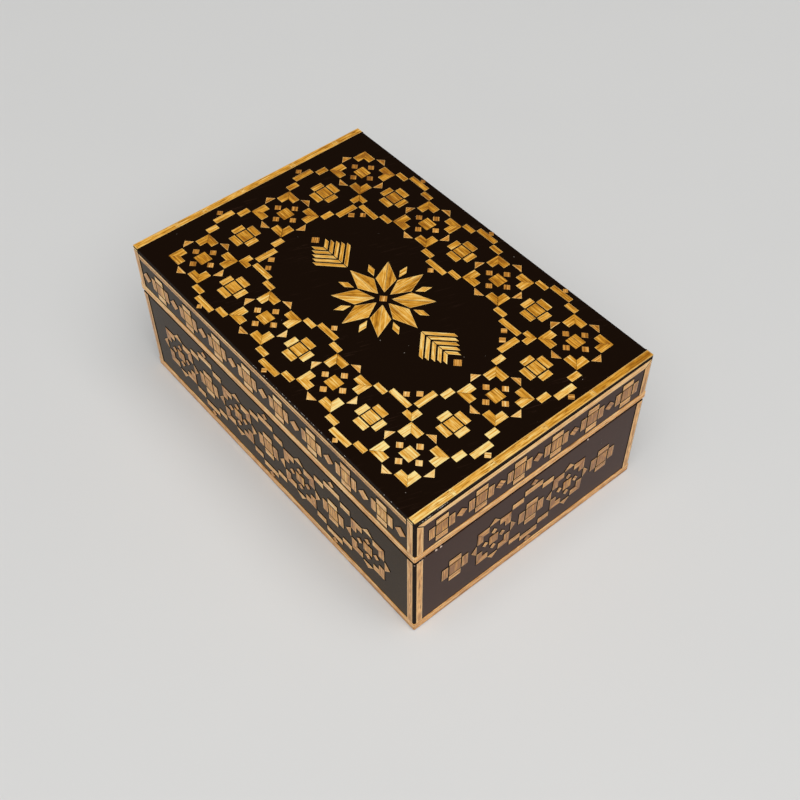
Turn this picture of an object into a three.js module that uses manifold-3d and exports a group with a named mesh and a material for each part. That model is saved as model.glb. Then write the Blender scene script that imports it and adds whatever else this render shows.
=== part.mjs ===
// A straw inlay box: a small hinged wooden box for keepsakes, stained and lacquered nearly black, with a
// traditional pattern of stars and crosses laid in pieces of flattened straw on every outer face.
// Millimetres, +Z up. X runs across the box, Y along it, and the front is the short side at -Y.
import * as THREE from 'three';
import { mergeGeometries, mergeVertices } from 'three/addons/utils/BufferGeometryUtils.js';
import Module from 'manifold-3d';

const wasm = await Module();
wasm.setup();

// Overall sizes, over the straw
const boxLength = 120;
const boxWidth = 79.5;
const boxHeight = 49;
const lidHeight = 16.8;

// Woodwork
const wallThickness = 5;
const topBoardThickness = 4;
const bottomBoardThickness = 4;

// Skin: a stained ground sheet on every outer face, and the straw pieces that stand a little proud of it
const groundThickness = 0.3;
const strawThickness = 0.2;
const strawJoint = 0.1;
const footLift = 0.3;
const seamMargin = 0.1;

// Straw edging strips
const arrisMarginUp = 0.9;
const arrisMarginSide = 0.65;
const bandWidth = 2.8;
const trimWidth = 2.4;
const stripWidth = 2.2;
const footTrimWidth = 2.5;
const baseStripMargin = 0.5;

// Star of the pattern, as shares of the half size of its square
const starCentreShare = 0.27;
const starLozengePlaceShare = 0.5;
const starLozengeShare = 0.18;
const chevronLegShare = 0.7;
const chevronWidthShare = 0.35;
const starPointHeightShare = 0.3;

// Half the small lozenge beside a long bar, as a share of the bar's width. It is smaller near the top's edges.
const lozengeShare = 0.6;
const edgeLozengeShareX = 0.45;
const edgeLozengeShareY = 0.54;

// Border of the lid's top: a ring of stars this far in from the edges, with a cross between each two
const topEdgeMarginX = 11.85;
const topEdgeMarginY = 16.45;
const topStarHalfX = 6.6;
const topStarHalfY = 7;
const topBarWidthX = 1.7;
const topBarWidthY = 1.95;
const topShortBar = 3.75;
const topCrossHalfX = 1.8;
const topCrossHalfY = 2.05;
const topCrossArmX = 2.1;
const topCrossArmY = 2;
const topPatternShift = -0.5;

// Middle of the lid's top: a rosette of eight petals and two ears of grain
const rosettePetals = 8;
const rosetteClearance = 1.36;
const petalInnerShare = 0.16;
const petalShoulderShare = 0.52;
const petalHalfWidthShare = 0.2;
const sparkPlaceShare = 0.8;
const sparkLengthShare = 0.17;
const sparkHalfWidthShare = 0.07;
const rosetteCentreShare = 0.1;
const earGap = 1.4;
const earClearance = 2.9;
const earPitch = 2.2;
const earLeafThickness = 1.5;
const earLeafReach = 6;
const earTaperShare = 0.15;
const earTipHalf = 1.5;

// Rows on the sides of the lid: crosses with lozenges between them, as shares of the row's height where upright
const lidRowMargin = 0.5;
const lidRowLeastGap = 0.35;
const lidCrossHalfU = 1.95;
const lidCrossArmU = 2.05;
const lidCrossHalfVShare = 0.22;
const lidCrossArmVShare = 0.21;
const lidLongEndMargin = 2.35;
const lidLongLozengeShare = 0.2;
const lidShortEndMargin = 5.65;
const lidShortLozengeShare = 0.165;

// Rows on the sides of the base: stars and crosses by turns, as shares of half the row's height where upright
const baseRowTopMargin = 2.6;
const baseRowFootMargin = 1.7;
const baseStarHalfVShare = 0.552;
const baseCrossHalfVShare = 0.188;
const baseCrossArmVShare = 0.176;
const baseBarWidthShare = 0.168;
const baseCrossHalfU = 2.05;
const baseCrossArmU = 2.25;
const baseShortBar = 4;
const baseLongStarHalfU = 6.7;
const baseLongEndMargin = 14.4;
const baseLongShift = -1;
const baseShortStarHalfU = 5.8;
const baseShortEndMargin = 10.6;

// Two butt hinges let into the back walls at the seam, with their barrels behind the box
const hingeInset = 12.25;
const leafLength = 14;
const leafDepth = 4.2;
const leafThickness = 0.6;
const leafGap = 0.2;
const mortiseClearance = 0.2;
const barrelRadius = 1.2;
const barrelStandoff = 0.25;
const knuckles = 3;
const knuckleClearance = 0.15;
const pinRadius = 0.6;
const pinClearance = 0.05;
const pinProud = 0.3;
const roundSteps = 24;

// Nails of the hinges
const nailInset = 3;
const nailLength = 7;
const nailTip = 1.2;
const nailShankRadius = 0.45;
const nailHeadRadius = 0.95;
const nailHeadDepth = 0.45;
const nailClearance = 0.05;
const nailSteps = 12;

// How far a cutting tool runs past what it cuts
const overrun = 1;

// Places worked out from the sizes above
const seamZ = boxHeight - lidHeight;
const skinThickness = groundThickness + strawThickness;
const woodHalfX = boxWidth / 2 - skinThickness;
const woodHalfY = boxLength / 2 - skinThickness;
const woodTopZ = boxHeight - skinThickness;
const groundHalfX = boxWidth / 2 - strawThickness;
const groundHalfY = boxLength / 2 - strawThickness;
const groundTopZ = boxHeight - strawThickness;
const innerHalfX = woodHalfX - wallThickness;
const innerHalfY = woodHalfY - wallThickness;
const lidWallTopZ = woodTopZ - topBoardThickness;
const lowerTrimZ = seamZ + seamMargin;
const lowerTrimTopZ = lowerTrimZ + trimWidth;
const upperTrimTopZ = boxHeight - arrisMarginUp;
const upperTrimZ = upperTrimTopZ - trimWidth;
const footTrimTopZ = footLift + footTrimWidth;
const stripInnerX = boxWidth / 2 - arrisMarginSide - stripWidth;
const stripInnerY = boxLength / 2 - arrisMarginSide - stripWidth;
const hingeSpacing = 2 * (innerHalfX - hingeInset);
const hingeY = boxLength / 2 + barrelStandoff + barrelRadius;
const nailY = woodHalfY - leafDepth / 2;
const boreRadius = pinRadius + pinClearance;

// Sizes of the patterns, from the faces that carry them
const topColumns = spread(
  groundHalfX - topEdgeMarginX,
  2 * (starReach(topStarHalfX) + crossReach(topCrossHalfX, topCrossArmX) + strawJoint),
);
const topRows = spread(
  groundHalfY - topEdgeMarginY,
  2 * (starReach(topStarHalfY) + crossReach(topCrossHalfY, topCrossArmY) + strawJoint),
);
const topEdgeX = topColumns[topColumns.length - 1];
const topEdgeY = topRows[topRows.length - 1];
const rosetteRadius = topEdgeX - linkReach(topStarHalfX, topBarWidthX) - rosetteClearance;
const earStart = rosetteRadius + earGap;
const earTipLength = earLeafThickness + 2 * earTipHalf;
const lidRowZ = (lowerTrimTopZ + upperTrimZ) / 2;
const lidRowHeight = upperTrimZ - lowerTrimTopZ - 2 * lidRowMargin;
const baseRowTopZ = seamZ - seamMargin - baseRowTopMargin;
const baseRowFootZ = footTrimTopZ + baseRowFootMargin;
const baseRowZ = (baseRowTopZ + baseRowFootZ) / 2;
const baseRowHalf = (baseRowTopZ - baseRowFootZ) / 2;
const baseStarHalfV = baseStarHalfVShare * baseRowHalf;
const baseCrossHalfV = baseCrossHalfVShare * baseRowHalf;
const baseCrossArmV = baseCrossArmVShare * baseRowHalf;
const baseBarWidth = baseBarWidthShare * baseRowHalf;

const blackWood = new THREE.MeshStandardMaterial({ color: '#2b1a12', roughness: 0.45, metalness: 0 });
const inlayFinish = new THREE.MeshStandardMaterial({ color: '#1a110c', roughness: 0.12, metalness: 0 });
const strawFinish = new THREE.MeshStandardMaterial({ color: '#d9a24a', roughness: 0.35, metalness: 0 });
const brassFinish = new THREE.MeshStandardMaterial({ color: '#b08d4a', roughness: 0.35, metalness: 1 });

// The four sides and the top, each with its own flat axes: across and up as seen from outside, and outwards
const faces = {
  left: { across: [0, -1, 0], up: [0, 0, 1], out: [-1, 0, 0], wood: woodHalfX },
  right: { across: [0, 1, 0], up: [0, 0, 1], out: [1, 0, 0], wood: woodHalfX },
  front: { across: [1, 0, 0], up: [0, 0, 1], out: [0, -1, 0], wood: woodHalfY },
  back: { across: [-1, 0, 0], up: [0, 0, 1], out: [0, 1, 0], wood: woodHalfY },
  top: { across: [1, 0, 0], up: [0, 1, 0], out: [0, 0, 1], wood: woodTopZ },
};
const longSides = ['left', 'right'];
const shortSides = ['front', 'back'];

// The box is built round its own middle, and the group is moved so that the hinge barrels count in its centre
const box = new THREE.Group();
box.position.y = -(hingeY + barrelRadius - boxLength / 2) / 2;

function add(name, geometry, material) {
  const mesh = new THREE.Mesh(geometry, material);
  mesh.name = name;
  box.add(mesh);
}

// A box from its lowest to its highest corner, with exactly these coordinates
function block(low, high) {
  const geometry = new THREE.BoxGeometry();
  const place = geometry.attributes.position;
  for (let i = 0; i < place.count; i++) {
    place.setXYZ(
      i,
      place.getX(i) < 0 ? low[0] : high[0],
      place.getY(i) < 0 ? low[1] : high[1],
      place.getZ(i) < 0 ? low[2] : high[2],
    );
  }
  geometry.computeVertexNormals();
  return geometry;
}

// An upright solid on an outline, from one height to another
function prism(outline, low, high) {
  const shape = new THREE.Shape(outline.map(([u, v]) => new THREE.Vector2(u, v)));
  const geometry = new THREE.ExtrudeGeometry(shape, { depth: 1, bevelEnabled: false });
  const place = geometry.attributes.position;
  for (let i = 0; i < place.count; i++) {
    place.setZ(i, place.getZ(i) === 0 ? low : high);
  }
  return geometry;
}

function toSolid(geometry) {
  const bare = geometry.clone();
  bare.deleteAttribute('normal');
  bare.deleteAttribute('uv');
  const merged = mergeVertices(bare);
  const vertProperties = new Float32Array(merged.attributes.position.array);
  const triVerts = new Uint32Array(merged.index.array);
  return new wasm.Manifold(new wasm.Mesh({ numProp: 3, vertProperties, triVerts }));
}

function toGeometry(solid) {
  const mesh = solid.getMesh();
  const geometry = new THREE.BufferGeometry();
  geometry.setAttribute('position', new THREE.BufferAttribute(mesh.vertProperties, 3));
  geometry.setIndex(new THREE.BufferAttribute(mesh.triVerts, 1));
  geometry.computeVertexNormals();
  return geometry;
}

// Turns a geometry from a face's flat axes to the box's axes
function onFace(geometry, side) {
  const { across, up, out } = faces[side];
  const turn = new THREE.Matrix4().makeBasis(
    new THREE.Vector3(...across),
    new THREE.Vector3(...up),
    new THREE.Vector3(...out),
  );
  return geometry.applyMatrix4(turn);
}

// Outlines of straw pieces, as lists of [u, v]
function rectangle(u, v, halfU, halfV) {
  return [
    [u - halfU, v - halfV],
    [u + halfU, v - halfV],
    [u + halfU, v + halfV],
    [u - halfU, v + halfV],
  ];
}

function lozenge(u, v, halfU, halfV) {
  return [
    [u - halfU, v],
    [u, v - halfV],
    [u + halfU, v],
    [u, v + halfV],
  ];
}

// A chevron with its outer corner at (u, v): its legs run back along both axes, against the signs given
function chevron(u, v, signU, signV, legU, legV, widthU, widthV) {
  const outline = [
    [0, 0],
    [-legU, 0],
    [-legU, -widthV],
    [-widthU, -widthV],
    [-widthU, -legV],
    [0, -legV],
  ];
  return outline.map(([a, b]) => [u + signU * a, v + signV * b]);
}

function quarterTurns(outline) {
  const turned = [outline];
  for (let k = 1; k < 4; k++) {
    turned.push(turned[k - 1].map(([u, v]) => [-v, u]));
  }
  return turned;
}

// A star of straw pieces: a centre square, four small lozenges, four corner chevrons and four outer points
function star(u, v, halfU, halfV) {
  const jointShare = strawJoint / Math.min(halfU, halfV);
  const leg = chevronLegShare;
  const width = chevronWidthShare;
  const pointBase = 1 + jointShare;
  const pointHalf = 1 - leg;
  const pieces = [
    rectangle(0, 0, starCentreShare, starCentreShare),
    ...quarterTurns(lozenge(starLozengePlaceShare, 0, starLozengeShare, starLozengeShare)),
    ...quarterTurns(chevron(1, 1, 1, 1, leg, leg, width, width)),
    ...quarterTurns([
      [-pointHalf, pointBase],
      [pointHalf, pointBase],
      [0, pointBase + starPointHeightShare],
    ]),
  ];
  return pieces.map((outline) => outline.map(([a, b]) => [u + halfU * a, v + halfV * b]));
}

// How far a star, a cross and a link reach from the line or the middle that they stand on
function starReach(half) {
  return half * (1 + starPointHeightShare) + strawJoint;
}

function crossReach(half, arm) {
  return half + strawJoint + arm;
}

function linkReach(starAcross, barWidth) {
  return starAcross + 2 * barWidth + 2 * lozengeShare * barWidth + 3 * strawJoint;
}

// A cross of five pieces: a centre and an arm on each of its sides
function cross(u, v, halfU, halfV, armU, armV) {
  const placeU = halfU + strawJoint + armU / 2;
  const placeV = halfV + strawJoint + armV / 2;
  return [
    rectangle(u, v, halfU, halfV),
    rectangle(u - placeU, v, armU / 2, halfV),
    rectangle(u + placeU, v, armU / 2, halfV),
    rectangle(u, v - placeV, halfU, armV / 2),
    rectangle(u, v + placeV, halfU, armV / 2),
  ];
}

// Three bars and a lozenge that step out round a cross, from one star's corner to the next one's.
// The run goes along the axis named, the steps go to the side given, and either end bar can be left out.
function link({ along, centre, pitch, edge, starAlong, starAcross, side, shortBar, barWidth, ends, share }) {
  const start = starAlong + strawJoint;
  const shortPlace = pitch / 2 - start - shortBar / 2;
  const longHalf = pitch / 2 - start - shortBar - strawJoint;
  const firstStep = starAcross + strawJoint + barWidth / 2;
  const secondStep = firstStep + barWidth + strawJoint;
  const lozengeHalf = share * barWidth;
  const lozengeStep = secondStep + barWidth / 2 + strawJoint + lozengeHalf;
  const pieces = [
    rectangle(0, side * secondStep, longHalf, barWidth / 2),
    lozenge(0, side * lozengeStep, lozengeHalf, lozengeHalf),
  ];
  for (const end of ends) {
    pieces.push(rectangle(end * shortPlace, side * firstStep, shortBar / 2, barWidth / 2));
  }
  return pieces.map((outline) => outline.map(([a, b]) => (
    along === 'u' ? [centre + a, edge + b] : [edge + b, centre + a]
  )));
}

// Evenly spaced places about zero
function row(count, pitch) {
  return Array.from({ length: count }, (_, k) => (k - (count - 1) / 2) * pitch);
}

// Evenly spaced places that fill a run of this half length, as many as fit at no less than this pitch
function spread(half, leastPitch) {
  const steps = Math.max(1, Math.floor((2 * half) / leastPitch));
  return row(steps + 1, (2 * half) / steps);
}

// One side of the top's border: crosses between the stars, with links outside and inside them
function borderSide(along, edge, stars, starAlong, starAcross, barWidth, edgeShare) {
  const pitch = stars[1] - stars[0];
  const crosses = row(stars.length - 1, pitch);
  const outside = Math.sign(edge);
  return crosses.flatMap((centre, k) => {
    const [u, v] = along === 'u' ? [centre, edge] : [edge, centre];
    const common = { along, centre, pitch, edge, starAlong, starAcross, shortBar: topShortBar, barWidth };
    const innerEnds = [];
    if (k > 0) {
      innerEnds.push(-1);
    }
    if (k < crosses.length - 1) {
      innerEnds.push(1);
    }
    return [
      ...cross(u, v, topCrossHalfX, topCrossHalfY, topCrossArmX, topCrossArmY),
      ...link({ ...common, side: outside, ends: [-1, 1], share: edgeShare }),
      ...link({ ...common, side: -outside, ends: innerEnds, share: lozengeShare }),
    ];
  });
}

// The ring of stars and crosses round the edge of the lid's top
function topBorder() {
  const pieces = [];
  for (const x of topColumns) {
    for (const y of topRows) {
      if (Math.abs(x) === topEdgeX || Math.abs(y) === topEdgeY) {
        pieces.push(...star(x, y, topStarHalfX, topStarHalfY));
      }
    }
  }
  for (const sign of [-1, 1]) {
    const acrossStars = [topColumns, topStarHalfX, topStarHalfY];
    const alongStars = [topRows, topStarHalfY, topStarHalfX];
    pieces.push(...borderSide('u', sign * topEdgeY, ...acrossStars, topBarWidthY, edgeLozengeShareY));
    pieces.push(...borderSide('v', sign * topEdgeX, ...alongStars, topBarWidthX, edgeLozengeShareX));
  }
  for (const signX of [-1, 1]) {
    for (const signY of [-1, 1]) {
      pieces.push(chevron(
        signX * (topEdgeX - topStarHalfX - strawJoint),
        signY * (topEdgeY - topStarHalfY - strawJoint),
        signX,
        signY,
        topShortBar,
        topShortBar,
        topBarWidthX,
        topBarWidthY,
      ));
    }
  }
  return pieces;
}

// A kite that points away from the middle, from its inner tip over its shoulders to its outer tip
function kite(inner, shoulder, outer, halfWidth, angle) {
  const cos = Math.cos(angle);
  const sin = Math.sin(angle);
  const outline = [
    [inner, 0],
    [shoulder, -halfWidth],
    [outer, 0],
    [shoulder, halfWidth],
  ];
  return outline.map(([a, b]) => [a * cos - b * sin, a * sin + b * cos]);
}

function rosette(radius) {
  const centre = rosetteCentreShare * radius;
  const sparkPlace = sparkPlaceShare * radius;
  const sparkLength = sparkLengthShare * radius;
  const pieces = [lozenge(0, 0, centre, centre)];
  for (let k = 0; k < rosettePetals; k++) {
    const angle = (k * 2 * Math.PI) / rosettePetals;
    const between = angle + Math.PI / rosettePetals;
    pieces.push(kite(
      petalInnerShare * radius,
      petalShoulderShare * radius,
      radius,
      petalHalfWidthShare * radius,
      angle,
    ));
    pieces.push(kite(
      sparkPlace - sparkLength,
      sparkPlace,
      sparkPlace + sparkLength,
      sparkHalfWidthShare * radius,
      between,
    ));
  }
  return pieces;
}

// How many pairs of leaves an ear has room for, before the star or the cross ahead of its tip
function earLeafCount() {
  const ahead = topColumns.length % 2 === 1 ? starReach(topStarHalfY) : linkReach(topStarHalfY, topBarWidthY);
  const room = topEdgeY - ahead - earClearance - earStart - earTipLength;
  return Math.max(0, Math.floor(room / earPitch));
}

// An ear of grain that grows along the box: pairs of slanting leaves that get shorter, and a tip
function ear(sign) {
  const pieces = [];
  const leaves = earLeafCount();
  for (let k = 0; k < leaves; k++) {
    const root = earStart + k * earPitch;
    const reach = earLeafReach * (1 - k * earTaperShare);
    for (const side of [-1, 1]) {
      const outline = [
        [strawJoint, root],
        [reach, root + reach],
        [reach, root + reach + earLeafThickness],
        [strawJoint, root + earLeafThickness],
      ];
      pieces.push(outline.map(([u, v]) => [side * u, sign * v]));
    }
  }
  const tip = earStart + leaves * earPitch + earTipLength - earTipHalf;
  pieces.push(lozenge(0, sign * tip, earTipHalf, earTipHalf));
  return pieces;
}

// Moves outlines together, as the whole pattern of a face was laid a little off its middle
function shifted(outlines, byU, byV) {
  return outlines.map((outline) => outline.map(([u, v]) => [u + byU, v + byV]));
}

function topPattern() {
  const pieces = [
    ...topBorder(),
    ...rosette(rosetteRadius),
    ...ear(-1),
    ...ear(1),
  ];
  return shifted(pieces, 0, topPatternShift);
}

// The row on a side of the lid: it starts and ends with a lozenge where asked, and with a cross otherwise
function lidRow(half, lozengeShareOfRow, lozengesAtEnds) {
  const lozengeHalf = lozengeShareOfRow * lidRowHeight;
  const reach = crossReach(lidCrossHalfU, lidCrossArmU);
  const ends = spread(half, 2 * (reach + lozengeHalf + lidRowLeastGap));
  const between = row(ends.length - 1, ends[1] - ends[0]);
  const [crosses, lozenges] = lozengesAtEnds ? [between, ends] : [ends, between];
  const crossHalfV = lidCrossHalfVShare * lidRowHeight;
  const crossArmV = lidCrossArmVShare * lidRowHeight;
  return [
    ...crosses.flatMap((u) => cross(u, lidRowZ, lidCrossHalfU, crossHalfV, lidCrossArmU, crossArmV)),
    ...lozenges.map((u) => lozenge(u, lidRowZ, lozengeHalf, lozengeHalf)),
  ];
}

function baseCross(u) {
  return cross(u, baseRowZ, baseCrossHalfU, baseCrossHalfV, baseCrossArmU, baseCrossArmV);
}

// A cross of the base with its links above and below, between two stars
function linkedBaseCross(u, starPitch, starHalfU) {
  const common = {
    along: 'u',
    centre: u,
    pitch: starPitch,
    edge: baseRowZ,
    starAlong: starHalfU,
    starAcross: baseStarHalfV,
    shortBar: baseShortBar,
    barWidth: baseBarWidth,
    ends: [-1, 1],
    share: lozengeShare,
  };
  return [
    ...baseCross(u),
    ...link({ ...common, side: -1 }),
    ...link({ ...common, side: 1 }),
  ];
}

// The row on a side of the base: a cross in the middle, and outwards from it stars and crosses by turns.
// A cross between two stars has its links, and one that ends the row stands alone.
function baseRow(half, starHalfU) {
  const leastStep = starReach(starHalfU) + crossReach(baseCrossHalfU, baseCrossArmU) + strawJoint;
  const steps = Math.max(1, Math.floor(half / leastStep));
  const step = half / steps;
  const pieces = [];
  for (let k = -steps; k <= steps; k++) {
    if (k % 2 !== 0) {
      pieces.push(...star(k * step, baseRowZ, starHalfU, baseStarHalfV));
    } else if (Math.abs(k) === steps) {
      pieces.push(...baseCross(k * step));
    } else {
      pieces.push(...linkedBaseCross(k * step, 2 * step, starHalfU));
    }
  }
  return pieces;
}

// An inlay sheet: the ground on one face of the wood, with the straw pieces standing on it as one body
function inlay(side, low, high, outlines) {
  const { wood } = faces[side];
  const ground = wood + groundThickness;
  const root = wood + groundThickness / 2;
  const sheet = toSolid(block([...low, wood], [...high, ground]));
  const straw = mergeGeometries(outlines.map((outline) => prism(outline, root, ground + strawThickness)));
  return toSolid(onFace(toGeometry(sheet.add(toSolid(straw))), side));
}

// A flat strip of straw on the ground of one face
function strawStrip(side, low, high) {
  const ground = faces[side].wood + groundThickness;
  return onFace(block([...low, ground], [...high, ground + strawThickness]), side);
}

// One knuckle of a hinge barrel, about the hinge's axis
function roundBar(radius, fromX, toX) {
  const bar = new THREE.CylinderGeometry(radius, radius, toX - fromX, roundSteps);
  bar.rotateZ(Math.PI / 2);
  bar.translate((fromX + toX) / 2, hingeY, seamZ);
  return bar;
}

// A solid of revolution about the line x, nailY, from a profile of [radius, depth] under the seam's gap.
// It grows up into the lid or down into the base.
function turned(profile, x, up) {
  const points = profile.map(([radius, depth]) => new THREE.Vector2(radius, depth));
  const solid = new THREE.LatheGeometry(points, nailSteps);
  const [axisY, axisZ] = up ? [[0, 0, 1], [0, -1, 0]] : [[0, 0, -1], [0, 1, 0]];
  solid.applyMatrix4(new THREE.Matrix4().makeBasis(
    new THREE.Vector3(1, 0, 0),
    new THREE.Vector3(...axisY),
    new THREE.Vector3(...axisZ),
  ));
  solid.translate(x, nailY, up ? seamZ + leafGap / 2 : seamZ - leafGap / 2);
  return solid;
}

function nail(x, up) {
  return turned([
    [0, 0],
    [nailHeadRadius, 0],
    [nailShankRadius, nailHeadDepth],
    [nailShankRadius, nailLength - nailTip],
    [0, nailLength],
  ], x, up);
}

// What a nail needs cut away: its countersink in the leaf and its hole in the wood behind
function nailRoom(x, up) {
  return toSolid(turned([
    [0, -overrun],
    [nailHeadRadius + nailClearance, -overrun],
    [nailHeadRadius + nailClearance, 0],
    [nailShankRadius + nailClearance, nailHeadDepth],
    [nailShankRadius + nailClearance, nailLength + nailClearance],
    [0, nailLength + nailClearance],
  ], x, up));
}

function nailPlaces(hingeX) {
  return row(2, leafLength - 2 * nailInset).map((x) => hingeX + x);
}

// The room that a hinge leaf takes up in the back wall and in the skin over it
function leafRoom(hingeX, up) {
  const reach = leafGap / 2 + leafThickness;
  const halfLength = leafLength / 2 + mortiseClearance;
  const deepest = woodHalfY - leafDepth - mortiseClearance;
  return toSolid(block(
    [hingeX - halfLength, deepest, up ? seamZ - overrun : seamZ - reach],
    [hingeX + halfLength, boxLength / 2 + overrun, up ? seamZ + reach : seamZ + overrun],
  ));
}

// A hinge leaf with its knuckles: the lid's leaf has the middle ones and the base's leaf the outer ones
function hingeLeaf(hingeX, up) {
  const low = up ? seamZ + leafGap / 2 : seamZ - leafGap / 2 - leafThickness;
  const high = low + leafThickness;
  const start = hingeX - leafLength / 2;
  const pitch = leafLength / knuckles;
  let leaf = toSolid(block(
    [start, woodHalfY - leafDepth, low],
    [start + leafLength, hingeY - barrelRadius - knuckleClearance, high],
  ));
  for (let k = up ? 1 : 0; k < knuckles; k += 2) {
    const from = start + k * pitch + (k > 0 ? knuckleClearance / 2 : 0);
    const to = start + (k + 1) * pitch - (k < knuckles - 1 ? knuckleClearance / 2 : 0);
    const neck = toSolid(block(
      [from, woodHalfY, low],
      [to, hingeY - (barrelRadius + boreRadius) / 2, high],
    ));
    leaf = leaf.add(neck).add(toSolid(roundBar(barrelRadius, from, to)));
  }
  leaf = leaf.subtract(toSolid(roundBar(boreRadius, start - overrun, start + leafLength + overrun)));
  for (const x of nailPlaces(hingeX)) {
    leaf = leaf.subtract(nailRoom(x, up));
  }
  return toGeometry(leaf);
}

// Cuts the rooms of both hinges, and their nail holes where asked, out of a piece of the back
function cutForHinges(geometry, up, withNails) {
  let solid = toSolid(geometry);
  for (const hingeX of row(2, hingeSpacing)) {
    solid = solid.subtract(leafRoom(hingeX, up));
    if (withNails) {
      for (const x of nailPlaces(hingeX)) {
        solid = solid.subtract(nailRoom(x, up));
      }
    }
  }
  return toGeometry(solid);
}

// Four walls between two heights: the long ones run through and the short ones stand between them
function addWalls(prefix, low, high, lid) {
  for (const [side, sign] of [['left', -1], ['right', 1]]) {
    const near = Math.min(sign * innerHalfX, sign * woodHalfX);
    const far = Math.max(sign * innerHalfX, sign * woodHalfX);
    add(`${prefix}_${side}_wall`, block([near, -woodHalfY, low], [far, woodHalfY, high]), blackWood);
  }
  const front = block([-innerHalfX, -woodHalfY, low], [innerHalfX, -innerHalfY, high]);
  const back = block([-innerHalfX, innerHalfY, low], [innerHalfX, woodHalfY, high]);
  add(`${prefix}_front_wall`, front, blackWood);
  add(`${prefix}_back_wall`, cutForHinges(back, lid, true), blackWood);
}

// The inlay sheets of four sides between two heights: the long ones cover the edges of the short ones
function addInlays(prefix, low, high, lid, longPattern, shortPattern) {
  for (const side of longSides) {
    const sheet = inlay(side, [-groundHalfY, low], [groundHalfY, high], longPattern);
    add(`${prefix}_${side}_inlay`, toGeometry(sheet), inlayFinish);
  }
  for (const side of shortSides) {
    const sheet = toGeometry(inlay(side, [-woodHalfX, low], [woodHalfX, high], shortPattern));
    add(`${prefix}_${side}_inlay`, side === 'back' ? cutForHinges(sheet, lid, false) : sheet, inlayFinish);
  }
}

// The upright strips beside the corners, two on each side
function addCornerStrips(prefix, low, highOnLong, highOnShort) {
  for (const [sides, half, high] of [
    [longSides, boxLength / 2, highOnLong],
    [shortSides, boxWidth / 2, highOnShort],
  ]) {
    const outer = half - arrisMarginSide;
    const inner = outer - stripWidth;
    for (const side of sides) {
      add(`${prefix}_${side}_strip_1`, strawStrip(side, [-outer, low], [-inner, high]), strawFinish);
      add(`${prefix}_${side}_strip_2`, strawStrip(side, [inner, low], [outer, high]), strawFinish);
    }
  }
}

function addLidTrims() {
  const trimHalfY = stripInnerY - strawJoint;
  const stripOuterX = boxWidth / 2 - arrisMarginSide;
  for (const side of longSides) {
    const lower = strawStrip(side, [-groundHalfY, lowerTrimZ], [groundHalfY, lowerTrimTopZ]);
    add(`lid_${side}_upper_trim`,
      strawStrip(side, [-trimHalfY, upperTrimZ], [trimHalfY, upperTrimTopZ]), strawFinish);
    add(`lid_${side}_lower_trim`, lower, strawFinish);
  }
  for (const side of shortSides) {
    const lower = strawStrip(side, [-groundHalfX, lowerTrimZ], [groundHalfX, lowerTrimTopZ]);
    add(`lid_${side}_upper_trim`,
      strawStrip(side, [-stripOuterX, upperTrimZ], [stripOuterX, upperTrimTopZ]), strawFinish);
    add(`lid_${side}_lower_trim`, side === 'back' ? cutForHinges(lower, true, false) : lower, strawFinish);
  }
}

// The straw strip round the foot of the base, mitred at the corners and joined
function footTrim() {
  const outer = toSolid(block(
    [-boxWidth / 2, -boxLength / 2, footLift],
    [boxWidth / 2, boxLength / 2, footTrimTopZ],
  ));
  const inner = toSolid(block(
    [-groundHalfX, -groundHalfY, footLift - overrun],
    [groundHalfX, groundHalfY, footTrimTopZ + overrun],
  ));
  return toGeometry(outer.subtract(inner));
}

function addBase() {
  add('base_bottom_board',
    block([-innerHalfX, -innerHalfY, 0], [innerHalfX, innerHalfY, bottomBoardThickness]), blackWood);
  addWalls('base', 0, seamZ, false);
  const longRow = baseRow(stripInnerY - baseLongEndMargin, baseLongStarHalfU);
  addInlays('base', footLift, seamZ - seamMargin, false,
    shifted(longRow, baseLongShift, 0),
    baseRow(stripInnerX - baseShortEndMargin, baseShortStarHalfU));
  addCornerStrips('base', footTrimTopZ + strawJoint, seamZ - baseStripMargin, seamZ - baseStripMargin);
  add('base_foot_trim', footTrim(), strawFinish);
}

function addLid() {
  add('lid_top_board',
    block([-woodHalfX, -woodHalfY, lidWallTopZ], [woodHalfX, woodHalfY, woodTopZ]), blackWood);
  addWalls('lid', seamZ, lidWallTopZ, true);
  const topSheet = inlay('top', [-groundHalfX, -groundHalfY], [groundHalfX, groundHalfY], topPattern());
  add('lid_top_inlay', toGeometry(topSheet), inlayFinish);
  addInlays('lid', seamZ + seamMargin, woodTopZ, true,
    lidRow(stripInnerY - lidLongEndMargin, lidLongLozengeShare, true),
    lidRow(stripInnerX - lidShortEndMargin, lidShortLozengeShare, false));
  for (const [name, sign] of [['front', -1], ['back', 1]]) {
    const near = Math.min(sign * (groundHalfY - bandWidth), sign * groundHalfY);
    const far = Math.max(sign * (groundHalfY - bandWidth), sign * groundHalfY);
    add(`lid_top_${name}_band`,
      block([-groundHalfX, near, groundTopZ], [groundHalfX, far, boxHeight]), strawFinish);
  }
  addLidTrims();
  addCornerStrips('lid', lowerTrimTopZ + strawJoint, upperTrimTopZ, upperTrimZ - strawJoint);
}

function addHinge(name, hingeX) {
  const end = leafLength / 2 + pinProud;
  add(`${name}_lid_leaf`, hingeLeaf(hingeX, true), brassFinish);
  add(`${name}_base_leaf`, hingeLeaf(hingeX, false), brassFinish);
  add(`${name}_pin`, roundBar(pinRadius, hingeX - end, hingeX + end), brassFinish);
  nailPlaces(hingeX).forEach((x, k) => {
    add(`${name}_lid_nail_${k + 1}`, nail(x, true), brassFinish);
    add(`${name}_base_nail_${k + 1}`, nail(x, false), brassFinish);
  });
}

addBase();
addLid();
row(2, hingeSpacing).forEach((hingeX, k) => addHinge(k === 0 ? 'hinge_left' : 'hinge_right', hingeX));

export default box;
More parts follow.
